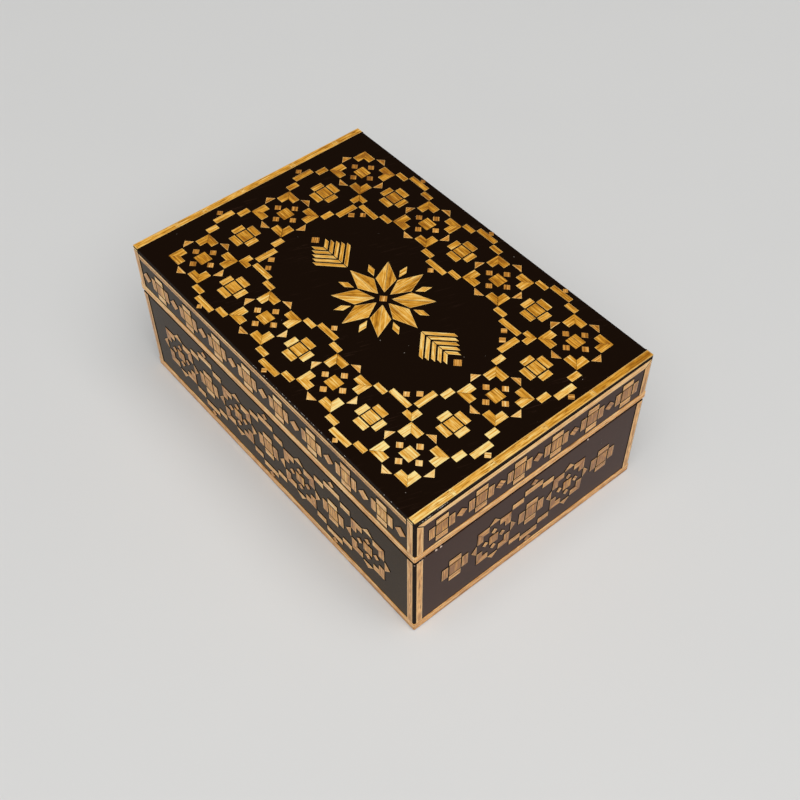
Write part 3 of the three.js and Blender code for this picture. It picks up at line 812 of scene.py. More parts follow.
@dataclass
class StrawCutter:
    """Turns the outlines on a face into straw pieces, as the maker cut them: mitred, split, sorted by shade.

    A lift is how much paler a piece is than its like, and a blush there is the least that the piece has.
    """

    side: Side
    level: float
    outlines: list[list[Vector]]
    # Painted highlight: the straw is painted paler the nearer it lies to this corner
    bright_corner: Vector = Vector((-39.75, -61.33, 49.0)) * MM
    bright_reach: float = 140 * MM
    bright_haste: float = 1.5
    bar_share: float = 1.35
    petal_skew: float = 0.1
    leaf_lean: float = 0.12
    lozenge_slope: float = 0.1
    alike_within: float = 0.02
    close_joint: float = 0.18 * MM
    close_by: float = 0.25 * MM
    half_mitre: float = 0.035 * MM
    half_butt: float = 0.01 * MM
    mitre_drop: float = 0.15
    usual_lozenge: float = 1.73 * MM
    edge_from: float = 35 * MM
    lozenge_lift: float = -0.17
    lozenge_blush: float = 0.55
    point_lift: float = -0.04
    point_blush: float = 0.45
    dull_edge: float = 0.15
    whole_share: float = 0.45
    cut_limits: tuple[float, float] = (0.4, 0.6)
    half_lifts: tuple[float, float] = (-0.03, 0.07)
    olive_share: float = 0.35
    petal_tones: tuple[float, float] = (0.50, 0.22)
    petal_gain: float = 0.30

    def __post_init__(self) -> None:
        """Takes the cut for its kind of face, and notes where bars and squares lie."""
        self.cut = TOP_CUT if self.side is Side.TOP else LONG_CUT if self.side in LONG_SIDES else SHORT_CUT
        self.boxes = [limits(outline) for outline in self.outlines if is_upright(outline)]

    def chance(self, spot: Vector, salt: str) -> random.Random:
        """A random source that depends only on the place on the face and a word."""
        return random.Random(f"{self.side.label} {salt} {spot.x / MM:.1f} {spot.y / MM:.1f}")

    def nearness(self, spot: Vector) -> float:
        """Measures how near a spot is to the corner of the painted highlight. It fades faster across the box.

        Args:
            spot: the spot on the face.

        Returns:
            One at the corner, and zero far from it.
        """
        away = self.side.place(spot, self.level) - self.bright_corner
        away.x *= self.bright_haste
        return max(0.0, 1.0 - away.length / self.bright_reach)

    def pieces(self) -> list[StrawPiece]:
        """All the straw pieces of the face."""
        return [piece for outline in self.outlines for piece in self._pieces_of(outline)]

    def _pieces_of(self, outline: list[Vector]) -> list[StrawPiece]:
        """Cuts one outline into its straw pieces.

        Args:
            outline: its corners on the face, in order.

        Returns:
            One piece, or two where the straw is mitred or laid in two widths.
        """
        if len(outline) == 6:
            return self._chevron(outline)
        if len(outline) == 3:
            return [self._point(outline)]
        if not is_upright(outline):
            return self._four_sided(outline)
        tucked = self._tucked(outline)
        if tucked == outline and self.side is Side.TOP:
            tucked = self._shortened(outline)
        return self._four_sided(tucked)

    def _shortened(self, outline: list[Vector]) -> list[Vector]:
        """Cuts a lone bar that runs across the box a little short at both ends.

        Args:
            outline: its corners.

        Returns:
            The new corners, or the same ones for another piece.
        """
        low, high = limits(outline)
        if high.x - low.x < self.bar_share * (high.y - low.y):
            return outline
        spare = Vector((self.cut.short_by, 0.0))
        return rectangle(low + spare, high - spare)

    def _tucked(self, outline: list[Vector]) -> list[Vector]:
        """Draws in the sides of a bar or square that have another one beside them, so that a joint shows.

        Args:
            outline: its corners.

        Returns:
            The new corners.
        """
        corners = [corner.copy() for corner in outline]
        for k, start in enumerate(outline):
            following = (k + 1) % len(outline)
            end = outline[following]
            along = (end - start).normalized()
            outwards = Vector((along.y, -along.x))
            beyond = [start.lerp(end, share) + outwards * self.close_by for share in (0.25, 0.5, 0.75)]
            if sum(self._is_taken(spot) for spot in beyond) >= 2:
                for number in (k, following):
                    corners[number] -= outwards * (self.close_joint - self.cut.free_joint)
        return corners

    def _is_taken(self, spot: Vector) -> bool:
        """Whether a bar or square lies at a spot."""
        return any(low.x < spot.x < high.x and low.y < spot.y < high.y for low, high in self.boxes)

    def _piece(self, corners: list[Vector], run: Vector, word: str, lift: float = 0.0) -> StrawPiece:
        """Makes a piece, with painted sheen where its straw runs across and a painted highlight near one
        corner.

        Args:
            corners: its corners.
            run: the direction of its fibres.
            word: a word that its chance depends on.
            lift: how much paler it is than its like.

        Returns:
            The piece.
        """
        cut = self.cut
        middle = middle_of(corners)
        near = self.nearness(middle)
        tone = cut.least_tone + cut.height_gain * middle.y / MM + cut.near_gain * near
        tone += (cut.lean_gain + cut.near_lean_gain * near) * abs(run.normalized().x)
        tone += lift + self.chance(middle, word).uniform(-TONE_LUCK, TONE_LUCK)
        return StrawPiece(corners, run.normalized(), [tone] * len(corners), cut.blush, joint=cut.free_joint)

    def _chevron(self, outline: list[Vector]) -> list[StrawPiece]:
        """Splits a chevron along its mitre, from the inner corner to the outer one, a little darker there.

        Args:
            outline: its six corners.

        Returns:
            Its two legs.
        """
        count = len(outline)
        inner = next(
            k for k in range(count)
            if (outline[k] - outline[k - 1]).cross(outline[(k + 1) % count] - outline[k]) < 0
        )
        ordered = [outline[(inner + k) % count] for k in range(count)]
        first = self._piece(ordered[:4], ordered[3] - ordered[2], "leg")
        second = self._piece([ordered[0], *ordered[3:]], ordered[4] - ordered[3], "leg")
        for leg, at_mitre, at_end in ((first, (3, 0), (1, 2)), (second, (0, 1), (2, 3))):
            leg.close_up(*at_mitre, self.half_mitre)
            leg.move_edge(*at_end, -self.cut.short_by)
            for k in at_mitre:
                leg.tones[k] -= self.mitre_drop
        return [first, second]

    def _point(self, outline: list[Vector]) -> StrawPiece:
        """Makes a triangle, whose straw runs along its longest side.

        Args:
            outline: its three corners.

        Returns:
            The piece.
        """
        sides = [outline[k] - outline[k - 1] for k in range(3)]
        piece = self._piece(outline, max(sides, key=lambda s: s.length), "point", self.point_lift)
        piece.blush = max(piece.blush, self.point_blush)
        piece.joint = self.cut.point_joint
        return piece

    def _four_sided(self, outline: list[Vector]) -> list[StrawPiece]:
        """Makes a bar, square, lozenge, leaf or petal, whichever the corners are.

        Args:
            outline: its four corners.

        Returns:
            One piece, or two where it is split.
        """
        first = outline[1] - outline[0]
        second = outline[2] - outline[1]
        skew = (first + (outline[3] - outline[2])).length / first.length
        lean = abs(first.normalized().dot(second.normalized()))
        longer, shorter = sorted((first, second), key=lambda s: -s.length)
        if skew > self.petal_skew:
            return self._petal(outline)
        if lean > self.leaf_lean:
            return [self._piece(outline, longer, "leaf")]
        if min(abs(share) for share in first.normalized()) > self.lozenge_slope:
            return [self._lozenge(outline, first)]
        if longer.length > self.bar_share * shorter.length:
            return [self._piece(outline, longer, "bar")]
        return self._square(outline)

    def _lozenge(self, outline: list[Vector], run: Vector) -> StrawPiece:
        """Makes a square set on its corner, browner than the rest, and grown where its outline is small.

        Args:
            outline: its four corners.
            run: the direction of its fibres, one side long.

        Returns:
            The piece.
        """
        middle = middle_of(outline)
        grown = 1.0 + self.cut.lozenge_growth * max(0.0, 1.0 - run.length / self.usual_lozenge)
        spare = (grown - 1.0) * run.length * math.sqrt(0.5)
        at_edge = abs(middle.x) > self.edge_from
        inwards = Vector((-math.copysign(spare, middle.x) if at_edge else 0.0, 0.0))
        corners = [middle + inwards + (corner - middle) * grown for corner in outline]
        piece = self._piece(corners, run, "lozenge", self.lozenge_lift)
        piece.blush = max(piece.blush, self.lozenge_blush)
        piece.edge = self.dull_edge
        piece.joint = self.cut.lozenge_joint
        return piece

    def _square(self, outline: list[Vector]) -> list[StrawPiece]:
        """Makes the square in a star or a cross, often laid in two widths of straw that run up the face.

        Args:
            outline: its four corners.

        Returns:
            One piece or two halves, more olive than other straw and with duller edges.
        """
        low, high = limits(outline)
        chance = self.chance((low + high) / 2, "square")
        run = Vector((0.0, 1.0))
        lift = self.cut.square_lift
        if chance.random() < self.whole_share:
            made = [self._piece(outline, run, "square", lift)]
        else:
            cut = low.x + chance.uniform(*self.cut_limits) * (high.x - low.x)
            boxes = ((low, Vector((cut, high.y))), (Vector((cut, low.y)), high))
            made = [
                self._piece(rectangle(*box), run, f"half {k}", lift + self.half_lifts[k])
                for k, box in enumerate(boxes)
            ]
            made[0].close_up(1, 2, self.half_butt)
            made[1].close_up(3, 0, self.half_butt)
        for square in made:
            square.edge = self.dull_edge
            square.blush *= self.olive_share
        return made

    def _petal(self, outline: list[Vector]) -> list[StrawPiece]:
        """Splits a petal down its middle into a light half and a deep half, as painted sheen.

        Args:
            outline: its four corners.

        Returns:
            The two halves.
        """
        lengths = [(outline[k] - outline[k - 1]).length for k in range(4)]
        spare = self.alike_within * max(lengths)
        longest = max(lengths) - spare
        tip = next(
            k for k in range(4)
            if lengths[k] >= longest and abs(lengths[k] - lengths[(k + 1) % 4]) < spare
        )
        ordered = [outline[(tip + k) % 4] for k in range(4)]
        axis = ordered[0] - ordered[2]
        light = self._piece([ordered[0], ordered[1], ordered[2]], axis, "petal")
        deep = self._piece([ordered[0], ordered[2], ordered[3]], axis, "petal")
        near = self.nearness(light.middle)
        light.close_up(2, 0, self.half_mitre)
        deep.close_up(0, 1, self.half_mitre)
        # Painted sheen: one half light and one deep; both are painted paler near the highlight's corner
        for half, tone in zip((light, deep), self.petal_tones):
            half.tones = [tone + self.petal_gain * near] * 3
        return [light, deep]


def add_face(shape: bmesh.types.BMesh, corners: Iterable[Vector]) -> bmesh.types.BMFace:
    """Adds a face to a mesh.

    Args:
        shape: the mesh.
        corners: the face's corners, in order.

    Returns:
        The face.
    """
    face = shape.faces.new([shape.verts.new(corner) for corner in corners])
    shape.normal_update()
    return face


def add_box(shape: bmesh.types.BMesh, low: Vector, high: Vector) -> None:
    """Adds a closed box to a mesh.

    Args:
        shape: the mesh.
        low: the box's lowest corner.
        high: its highest corner.
    """
    verts = bmesh.ops.create_cube(shape, size=1.0)["verts"]
    bmesh.ops.scale(shape, verts=verts, vec=high - low)
    bmesh.ops.translate(shape, verts=verts, vec=(high + low) / 2)


def inset(shape: bmesh.types.BMesh, face: bmesh.types.BMFace, width: float, depth: float = 0.0) -> None:
    """Draws a face in by a width and moves it out by a depth, with new faces round it."""
    bmesh.ops.inset_individual(shape, faces=[face], thickness=width, depth=depth, use_even_offset=True)


def ease(shape: bmesh.types.BMesh, edges: list[bmesh.types.BMEdge], width: float, segments: int = 1) -> None:
    """Bevels some edges of a mesh."""
    bmesh.ops.bevel(
        shape, geom=edges, offset=width, segments=segments, profile=0.5, affect="EDGES", material=-1
    )


def append(target: bmesh.types.BMesh, source: bmesh.types.BMesh) -> None:
    """Adds a small mesh to a larger one.

    Args:
        target: the larger mesh.
        source: the small mesh, freed here.
    """
    between = bpy.data.meshes.new("between")
    source.to_mesh(between)
    target.from_mesh(between)
    bpy.data.meshes.remove(between)
    source.free()


def map_grain(shape: bmesh.types.BMesh, side: Side, run: Vector, chance: random.Random) -> None:
    """Maps a mesh along and across its fibres, in millimetres, from a random start.

    Args:
        shape: the mesh, with a grain map or without one.
        side: the face that it lies on.
        run: the direction of its fibres on the face.
        chance: its random source.
    """
    layer = shape.loops.layers.uv.get(GRAIN_MAP) or shape.loops.layers.uv.new(GRAIN_MAP)
    along = run.normalized()
    across = Vector((-along.y, along.x))
    start = Vector((chance.uniform(0, GRAIN_REACH), chance.uniform(0, GRAIN_REACH)))
    for face in shape.faces:
        for loop in face.loops:
            spot = side.flat(loop.vert.co)
            loop[layer].uv = start + Vector((spot.dot(along), spot.dot(across))) / MM


def add_object(name: str, data: bpy.types.ID) -> bpy.types.Object:
    """Adds an object to the scene.

    Args:
        name: its name.
        data: its mesh, light or camera.

    Returns:
        The object.
    """
    made = bpy.data.objects.new(name, data)
    bpy.context.scene.collection.objects.link(made)
    return made


def add_mesh(name: str, shape: bmesh.types.BMesh) -> bpy.types.Object:
    """Adds an object with a mesh to the scene.

    Args:
        name: the name of both.
        shape: the mesh, freed here.

    Returns:
        The object.
    """
    mesh = bpy.data.meshes.new(name)
    shape.to_mesh(mesh)
    shape.free()
    return add_object(name, mesh)


def add_piece(
    name: str,
    shape: bmesh.types.BMesh,
    material: bpy.types.Material,
    part: Part,
    nodes: Sequence[str],
) -> bpy.types.Object:
    """Adds a shown piece of the box.

    Args:
        name: its name.
        shape: its mesh, freed here.
        material: its finish.
        part: the half of the box that it rides on.
        nodes: the nodes of the model that it stands for.

    Returns:
        The piece.
    """
    piece = add_mesh(name, shape)
    piece.data.materials.append(material)
    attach(piece, part.value)
    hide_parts(*nodes)
    LOG.info("%s: %d faces, stands for %s", name, len(piece.data.polygons), ", ".join(nodes))
    return piece


@dataclass(frozen=True)
class InlaySizes:
    """How a straw piece sits in the lacquer: its height over it, and the lacquer that creeps up its edges.

    Each slope of the creeping lacquer is a width and a drop, and root is how deep the straw goes into it. A
    corner darker than the piece by more than mitre_shade lies on a mitre, and has no pale edge.
    """

    proud: float = 0.20 * MM
    creep_height: float = 0.15 * MM
    creep_slopes: tuple[tuple[float, float], ...] = ((0.09 * MM, 0.09 * MM), (0.17 * MM, 0.075 * MM))
    root: float = 0.12 * MM
    rim_height: float = 0.025 * MM
    mitre_shade: float = 0.05
    shift: float = 0.035 * MM
    turn: float = math.radians(0.7)


SIDE_INLAY = InlaySizes()
TOP_INLAY = InlaySizes(proud=0.03 * MM, creep_height=0.0)


@dataclass
class StrawSheet:
    """The straw pieces of one face, raised out of the lacquer, with the lacquer that creeps up them."""

    side: Side
    level: float

    def __post_init__(self) -> None:
        """Starts the meshes of the straw and the lacquer."""
        self.sizes = TOP_INLAY if self.side is Side.TOP else SIDE_INLAY
        self.straw = self._blank()
        self.creep = bmesh.new()
        self.creep.verts.layers.float.new(CREEP_LAYER)
        self.count = 0

    @staticmethod
    def _blank() -> bmesh.types.BMesh:
        """Makes an empty mesh with the grain map and the straw layer.

        Returns:
            The mesh.
        """
        shape = bmesh.new()
        shape.loops.layers.uv.new(GRAIN_MAP)
        shape.verts.layers.float_color.new(STRAW_LAYER)
        return shape

    def lay(self, piece: StrawPiece, loose: bool = True) -> None:
        """Lays one piece.

        Args:
            piece: the piece to lay.
            loose: whether it lies a little off its place, as a small piece laid by hand does.
        """
        chance = random.Random(f"{self.side.label} {self.count}")
        self.count += 1
        corners = self._nudged(piece, chance) if loose else piece.corners
        outline = self._outline(corners, piece.joint)
        if self.sizes.creep_height > 0:
            self._lay_creep(outline)
        self._lay_straw(outline, piece, chance)

    def _nudged(self, piece: StrawPiece, chance: random.Random) -> list[Vector]:
        """Turns and shifts a piece a little.

        Args:
            piece: the piece.
            chance: its random source.

        Returns:
            Its new corners.
        """
        middle = piece.middle
        turn = Matrix.Rotation(chance.uniform(-1, 1) * self.sizes.turn, 2)
        shift = Vector((chance.uniform(-1, 1), chance.uniform(-1, 1))) * self.sizes.shift
        return [middle + turn @ (corner - middle) + shift for corner in piece.corners]

    def _outline(self, corners: list[Vector], joint: float) -> list[Vector]:
        """Draws an outline in by its joint.

        Args:
            corners: its corners on the face.
            joint: how far it is drawn in on every side.

        Returns:
            The new corners as points at the level of the straw.
        """
        shape = bmesh.new()
        face = add_face(shape, (self.side.place(corner, self.level) for corner in corners))
        inset(shape, face, joint)
        places = [vert.co.copy() for vert in face.verts]
        shape.free()
        return places

    def _lay_creep(self, outline: list[Vector]) -> None:
        """Builds the lacquer under a piece and the hollow slope of it round the piece's edges.

        Args:
            outline: the piece's corners.
        """
        drop = self.side.out * (self.sizes.creep_height - self.sizes.proud)
        shape = bmesh.new()
        face = add_face(shape, (place + drop for place in outline))
        bmesh.ops.duplicate(shape, geom=[face])
        for width, depth in self.sizes.creep_slopes:
            inset(shape, face, -width, -depth)
        bmesh.ops.remove_doubles(shape, verts=shape.verts, dist=0.001 * MM)
        bmesh.ops.recalc_face_normals(shape, faces=shape.faces)
        # The creep layer paints these slopes black: painted shade round the piece
        layer = shape.verts.layers.float.new(CREEP_LAYER)
        for vert in shape.verts:
            vert[layer] = 1.0
        append(self.creep, shape)

    def _lay_straw(self, outline: list[Vector], piece: StrawPiece, chance: random.Random) -> None:
        """Builds the straw itself, a thin slab with its upper edges eased.

        Args:
            outline: the piece's corners.
            piece: the piece.
            chance: its random source.
        """
        sizes = self.sizes
        out = self.side.out
        body = sizes.proud - sizes.creep_height + sizes.root
        shape = self._blank()
        layer = shape.verts.layers.float_color[STRAW_LAYER]
        foot = add_face(shape, (place - out * body for place in outline))
        made = bmesh.ops.extrude_face_region(shape, geom=[foot])["geom"]
        top = next(item for item in made if isinstance(item, bmesh.types.BMFace))
        bmesh.ops.translate(shape, verts=top.verts, vec=out * (body - sizes.rim_height))
        inset(shape, top, piece.rim, sizes.rim_height)
        inner = set(top.verts)
        for vert in shape.verts:
            tone = piece.tones[piece.nearest(self.side.flat(vert.co))]
            at_mitre = tone < max(piece.tones) - sizes.mitre_shade
            vert[layer] = (tone, piece.blush, 0.0 if vert in inner or at_mitre else piece.edge, piece.fleck)
        bmesh.ops.recalc_face_normals(shape, faces=shape.faces)
        map_grain(shape, self.side, piece.run, chance)
        append(self.straw, shape)


def read_outlines(node: bpy.types.Object, side: Side) -> list[list[Vector]]:
    """Reads the straw pieces off an inlay node of the model.

    Args:
        node: the node's object.
        side: the face that it covers.

    Returns:
        The corners of each piece on the face, counter-clockwise.
    """
    shape = bmesh.new()
    shape.from_mesh(node.data)
    bmesh.ops.remove_doubles(shape, verts=shape.verts, dist=WELD)
    out = side.out
    level = max(vert.co.dot(out) for vert in shape.verts)
    lower = [f for f in shape.faces if min(v.co.dot(out) for v in f.verts) < level - STRAW_WITHIN]
    bmesh.ops.delete(shape, geom=lower, context="FACES")
    bmesh.ops.dissolve_limit(
        shape, angle_limit=math.radians(1), use_dissolve_boundaries=False,
        verts=shape.verts, edges=shape.edges,
    )
    outlines = []
    for face in shape.faces:
        corners = true_corners([side.flat(vert.co) for vert in face.verts])
        turn = sum(corners[k - 1].cross(corners[k]) for k in range(len(corners)))
        outlines.append(corners if turn > 0 else corners[::-1])
    shape.free()
    return outlines


def true_corners(outline: list[Vector]) -> list[Vector]:
    """Drops the corners of an outline at which it doesn't really turn.

    Args:
        outline: its corners.

    Returns:
        The corners that are left.
    """
    kept = []
    for k, corner in enumerate(outline):
        before = (corner - outline[k - 1]).normalized()
        after = (outline[(k + 1) % len(outline)] - corner).normalized()
        if abs(before.cross(after)) > LEAST_TURN:
            kept.append(corner)
    return kept


@dataclass
class LacquerShell:
    """A skin of lacquer round the lid or the base, with its arrises rounded."""

    low: Vector
    high: Vector
    open_top: bool
    arris: float = 0.35 * MM
    thickness: float = 0.25 * MM
    rim_chamfer: float = 0.0
    rounds: int = 3

    def build(self) -> bmesh.types.BMesh:
        """Builds the skin as a closed wall that is open below, and above where it says so.

        Returns:
            The mesh.
        """
        shape = bmesh.new()
        add_box(shape, self.low, self.high)
        shape.normal_update()
        gone = [f for f in shape.faces if f.normal.z < -0.5 or (self.open_top and f.normal.z > 0.5)]
        bmesh.ops.delete(shape, geom=gone, context="FACES")
        ease(shape, [edge for edge in shape.edges if len(edge.link_faces) == 2], self.arris, self.rounds)
        bmesh.ops.recalc_face_normals(shape, faces=shape.faces)
        if not self._looks_out(max(shape.faces, key=lambda f: f.calc_area())):
            bmesh.ops.reverse_faces(shape, faces=shape.faces)
        bmesh.ops.solidify(shape, geom=shape.faces, thickness=self.thickness)
        if self.rim_chamfer > 0:
            self._chamfer_rim(shape)
        for face in shape.faces:
            face.smooth = True
        return shape

    def _looks_out(self, face: bmesh.types.BMFace) -> bool:
        """Whether a face looks away from the middle."""
        return face.normal.dot(face.calc_center_median() - (self.high + self.low) / 2) > 0

    def _chamfer_rim(self, shape: bmesh.types.BMesh) -> None:
        """Rubs down the outer edge of the upper rim.

        Args:
            shape: the mesh of the skin.
        """
        bmesh.ops.recalc_face_normals(shape, faces=shape.faces)
        outer = [
            edge for edge in shape.edges
            if all(vert.co.z > self.high.z - 1e-6 for vert in edge.verts)
            and any(abs(face.normal.z) < 0.5 and self._looks_out(face) for face in edge.link_faces)
        ]
        ease(shape, outer, self.rim_chamfer)


def hollow(shape: bmesh.types.BMesh, rooms: Sequence[Box]) -> bmesh.types.BMesh:
    """Cuts box-shaped rooms out of a closed mesh.

    Args:
        shape: the mesh, freed here.
        rooms: the lowest and highest corner of each room.

    Returns:
        The mesh that is left.
    """
    cutters = bmesh.new()
    for low, high in rooms:
        add_box(cutters, low, high)
    pieces = [add_mesh("whole", shape), add_mesh("rooms", cutters)]
    cut = pieces[0].modifiers.new("rooms", "BOOLEAN")
    cut.operation = "DIFFERENCE"
    cut.solver = "EXACT"
    cut.object = pieces[1]
    depsgraph = bpy.context.evaluated_depsgraph_get()
    left = bpy.data.meshes.new_from_object(pieces[0].evaluated_get(depsgraph))
    result = bmesh.new()
    result.from_mesh(left)
    for mesh in (left, *(piece.data for piece in pieces)):
        bpy.data.meshes.remove(mesh)
    return result


@dataclass(frozen=True)
class Camera:
    """The camera at the photograph's place and angle."""

    place: Vector = Vector((-0.136069, -0.173258, 0.272973))
    azimuth: float = math.radians(-39.525)
    elevation: float = math.radians(50.564)
    roll: float = math.radians(-0.504)
    focal_share: float = 1186.39 / 800
    sensor: float = 36.0
    clip_limits: tuple[float, float] = (0.01, 50.0)

    def build(self) -> None:
        """Adds the camera to the scene."""
        back = Vector((
            math.sin(self.azimuth) * math.cos(self.elevation),
            -math.cos(self.azimuth) * math.cos(self.elevation),
            math.sin(self.elevation),
        ))
        level = (-back).cross(Vector((0, 0, 1))).normalized()
        upward = level.cross(-back)
        right = math.cos(self.roll) * level + math.sin(self.roll) * upward
        up = -math.sin(self.roll) * level + math.cos(self.roll) * upward
        data = bpy.data.cameras.new("camera")
        data.sensor_width = self.sensor
        data.lens = self.focal_share * self.sensor
        data.clip_start, data.clip_end = self.clip_limits
        camera = add_object("camera", data)
        turn = Matrix((right, up, back)).transposed().to_4x4()
        camera.matrix_world = Matrix.Translation(self.place) @ turn
        bpy.context.scene.camera = camera


@dataclass(frozen=True)
class Studio:
    """A pale floor under a broad soft lamp, above and towards the viewer, in a dim room."""

    floor_radius: float = 3.0
    floor_sides: int = 64
    lamp_power: float = 92.0
    lamp_width: float = 3.6
    lamp_place: Vector = Vector((-0.480, -0.960, 2.370))
    horizon: float = 0.42
    gloom: float = 0.02
    sky_places: tuple[float, ...] = (0.0, 0.35, 0.68, 1.0)
    behind_limits: tuple[float, float] = (-0.2, 0.8)
    dimming: float = 0.75
    backdrop: Colour = (0.69, 0.688, 0.675)
    mirrored_limits: tuple[float, float] = (0.30, 0.60)

    def build(self) -> None:
        """Adds the floor, the lamp and the world."""
        self._floor()
        self._lamp()
        self._world()

    def _floor(self) -> None:
        """Adds the floor."""
        shape = bmesh.new()
        bmesh.ops.create_circle(shape, cap_ends=True, segments=self.floor_sides, radius=self.floor_radius)
        floor = add_mesh("floor", shape)
        floor.data.materials.append(PaperFinish().make())

    def _lamp(self) -> None:
        """Adds the broad lamp, aimed at the box."""
        data = bpy.data.lights.new("soft_lamp", "AREA")
        data.shape = "DISK"
        data.size = self.lamp_width
        data.energy = self.lamp_power
        lamp = add_object("soft_lamp", data)
        lamp.location = self.lamp_place
        lamp.rotation_euler = self.lamp_place.to_track_quat("Z", "Y").to_euler()

    def _world(self) -> None:
        """Makes the world dim above and behind, brighter low down, and as pale as the floor to the camera.

        Gloss shows that pale backdrop too, but only low down, because the room above the box is dim.
        """
        world = bpy.data.worlds.new("room")
        world.use_nodes = True
        bpy.context.scene.world = world
        sheet = NodeSheet(world.node_tree)
        direction = sheet.node("ShaderNodeTexCoord", output="Generated")
        across, along, height = sheet.split("XYZ", direction)
        glow = (self.horizon,) * 3
        gloom = (self.gloom,) * 3
        sky = sheet.ramp(height, self.sky_places, (glow, glow, gloom, gloom))
        behind = sheet.span(across + along, *self.behind_limits)
        dimmed = sheet.blend(behind * self.dimming, sky, gloom)
        seen, glossy, clear = (
            sheet.node("ShaderNodeLightPath", output=f"Is {kind} Ray")
            for kind in ("Camera", "Glossy", "Transmission")
        )
        low_down = 1.0 - sheet.span(height, *self.mirrored_limits)
        shown = sheet.blend(seen + (glossy + clear) * low_down, dimmed, self.backdrop)
        light = sheet.node("ShaderNodeBackground", None, {"Color": shown, "Strength": 1.0})
        sheet.node("ShaderNodeOutputWorld", None, {"Surface": light})


@dataclass
class Finishes:
    """The finishes of the box."""

    straw: bpy.types.Material = field(default_factory=StrawFinish().make)
    lacquer: bpy.types.Material = field(default_factory=LacquerFinish().make)
    wood: bpy.types.Material = field(default_factory=WoodFinish().make)
    brass: bpy.types.Material = field(default_factory=BrassFinish().make)


@dataclass
class Strip:
    """A strip of straw along an edge, laid in lanes side by side and in lengths end to end, plain or mitred.

    Lanes are shares of the node's width from first onwards, each with its tone. The taper is the share by
    which the strip is narrower at its start, and a mitre moves its end by a length on each of its two lines.
    """

    side: Side
    node: str
    lanes: tuple[float, ...] = (1.0,)
    first: float = 0.0
    tones: tuple[float, ...] = (0.50,)
    blush: float = 0.9
    # Painted highlight: how much paler the strip is painted near the highlight's corner
    near_lift: float = 0.12
    edge: float = 0.55
    rim: float = 0.45 * MM
    least_length: float = 26 * MM
    most_length: float = 60 * MM
    pale_bits: bool = False
    bit_limits: tuple[float, float] = (0.8 * MM, 1.4 * MM)
    bit_lift: float = 0.09
    joint: float = 0.15 * MM
    butt: float = 0.02 * MM
    fleck: float = 0.42
    # Painted highlight: a pale piece at the strip's top end, where its end facet catches the light
    pale_end: float = 0.0
    pale_tone: float = 0.92
    pale_blush: float = 0.3
    taper: float = 0.0
    mitre_start: tuple[float, float] = (0.0, 0.0)
    mitre_end: tuple[float, float] = (0.0, 0.0)

    def __post_init__(self) -> None:
        """Measures the node on its face."""
        self.low, high = limits(self.side.flat(corner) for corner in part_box(self.node))
        size = high - self.low
        axes = (Vector((1.0, 0.0)), Vector((0.0, 1.0)))
        self.lies_level = size.x > size.y
        self.run, self.across = axes if self.lies_level else axes[::-1]
        self.length = size.dot(self.run)
        self.width = size.dot(self.across)

    def lay(self, sheet: StrawSheet, cutter: StrawCutter) -> None:
        """Lays the strip, as large as its node but for its mitres.

        Args:
            sheet: the straw of the face.
            cutter: the cutter of the face, which knows how near the corner of the painted highlight is.
        """
        chance = random.Random(self.node)
        start = self.first
        for share, lane_tone in zip(self.lanes, self.tones):
            for a, b, is_bit in self._lengths(chance):
                luck = self.bit_lift if is_bit else chance.uniform(-TONE_LUCK, TONE_LUCK)
                corners = self._corners(a, b, start, start + share)
                near = cutter.nearness(middle_of(corners))
                tones = [lane_tone + luck + self.near_lift * near] * len(corners)
                looks = (self.blush, self.edge, self.rim * share, self.joint, self.fleck)
                sheet.lay(StrawPiece(corners, self.run, tones, *looks), loose=False)
            start += share
        # Lays the painted highlight at the strip's end
        if self.pale_end > 0:
            top = self.low + self.run * self.length
            facet = rectangle(top, top + self.run * self.pale_end + self.across * self.width)
            sheet.lay(StrawPiece(facet, self.run, [self.pale_tone] * 4, self.pale_blush, 1.0), loose=False)

    def _corners(self, a: float, b: float, start: float, end: float) -> list[Vector]:
        """Places one length of one lane.

        Args:
            a: where the length starts along the strip.
            b: where it ends.
            start: where its lane starts across the strip, as a share of the width.
            end: where its lane ends.

        Returns:
            Its corners, counter-clockwise.
        """
        a -= (self.joint - self.butt) * (a > 0)
        b += (self.joint - self.butt) * (b < self.length)
        ends = [end - self.taper * (1 - spot / self.length) for spot in (a, b)]
        corners = [
            self.low + self.run * self._end_at(spot, share) + self.across * share * self.width
            for spot, share in ((a, start), (b, start), (b, ends[1]), (a, ends[0]))
        ]
        return corners if self.lies_level else corners[::-1]

    def _end_at(self, spot: float, share: float) -> float:
        """Finds where an end of a length comes on one line, moved by the mitre at the strip's own ends.

        Args:
            spot: where the length ends along the strip.
            share: where the line runs across the strip, as a share of the width.

        Returns:
            Where it ends on that line.
        """
        if 0.0 < spot < self.length:
            return spot
        at_start = spot <= 0.0
        mitre = self.mitre_start if at_start else self.mitre_end
        return (0.0 if at_start else self.length) + mitre[0] * (1 - share) + mitre[1] * share

    def _lengths(self, chance: random.Random) -> list[tuple[float, float, bool]]:
        """Cuts the run into straw lengths, with a pale bit between each two where the strip has them.

        Args:
            chance: the strip's random source.

        Returns:
            The start and the end of each length, and whether it is a pale bit.
        """
        cuts = [0.0]
        while self.length - cuts[-1] > self.most_length:
            cuts.append(cuts[-1] + chance.uniform(self.least_length, self.most_length))
        if self.length - cuts[-1] < self.least_length and len(cuts) > 1:
            cuts.pop()
        lengths = []
        for a, b in zip(cuts, [*cuts[1:], self.length]):
            bit = chance.uniform(*self.bit_limits) if self.pale_bits and b < self.length else 0.0
            lengths.append((a, b - bit, False))
            if bit:
                lengths.append((b - bit, b, True))
        return lengths


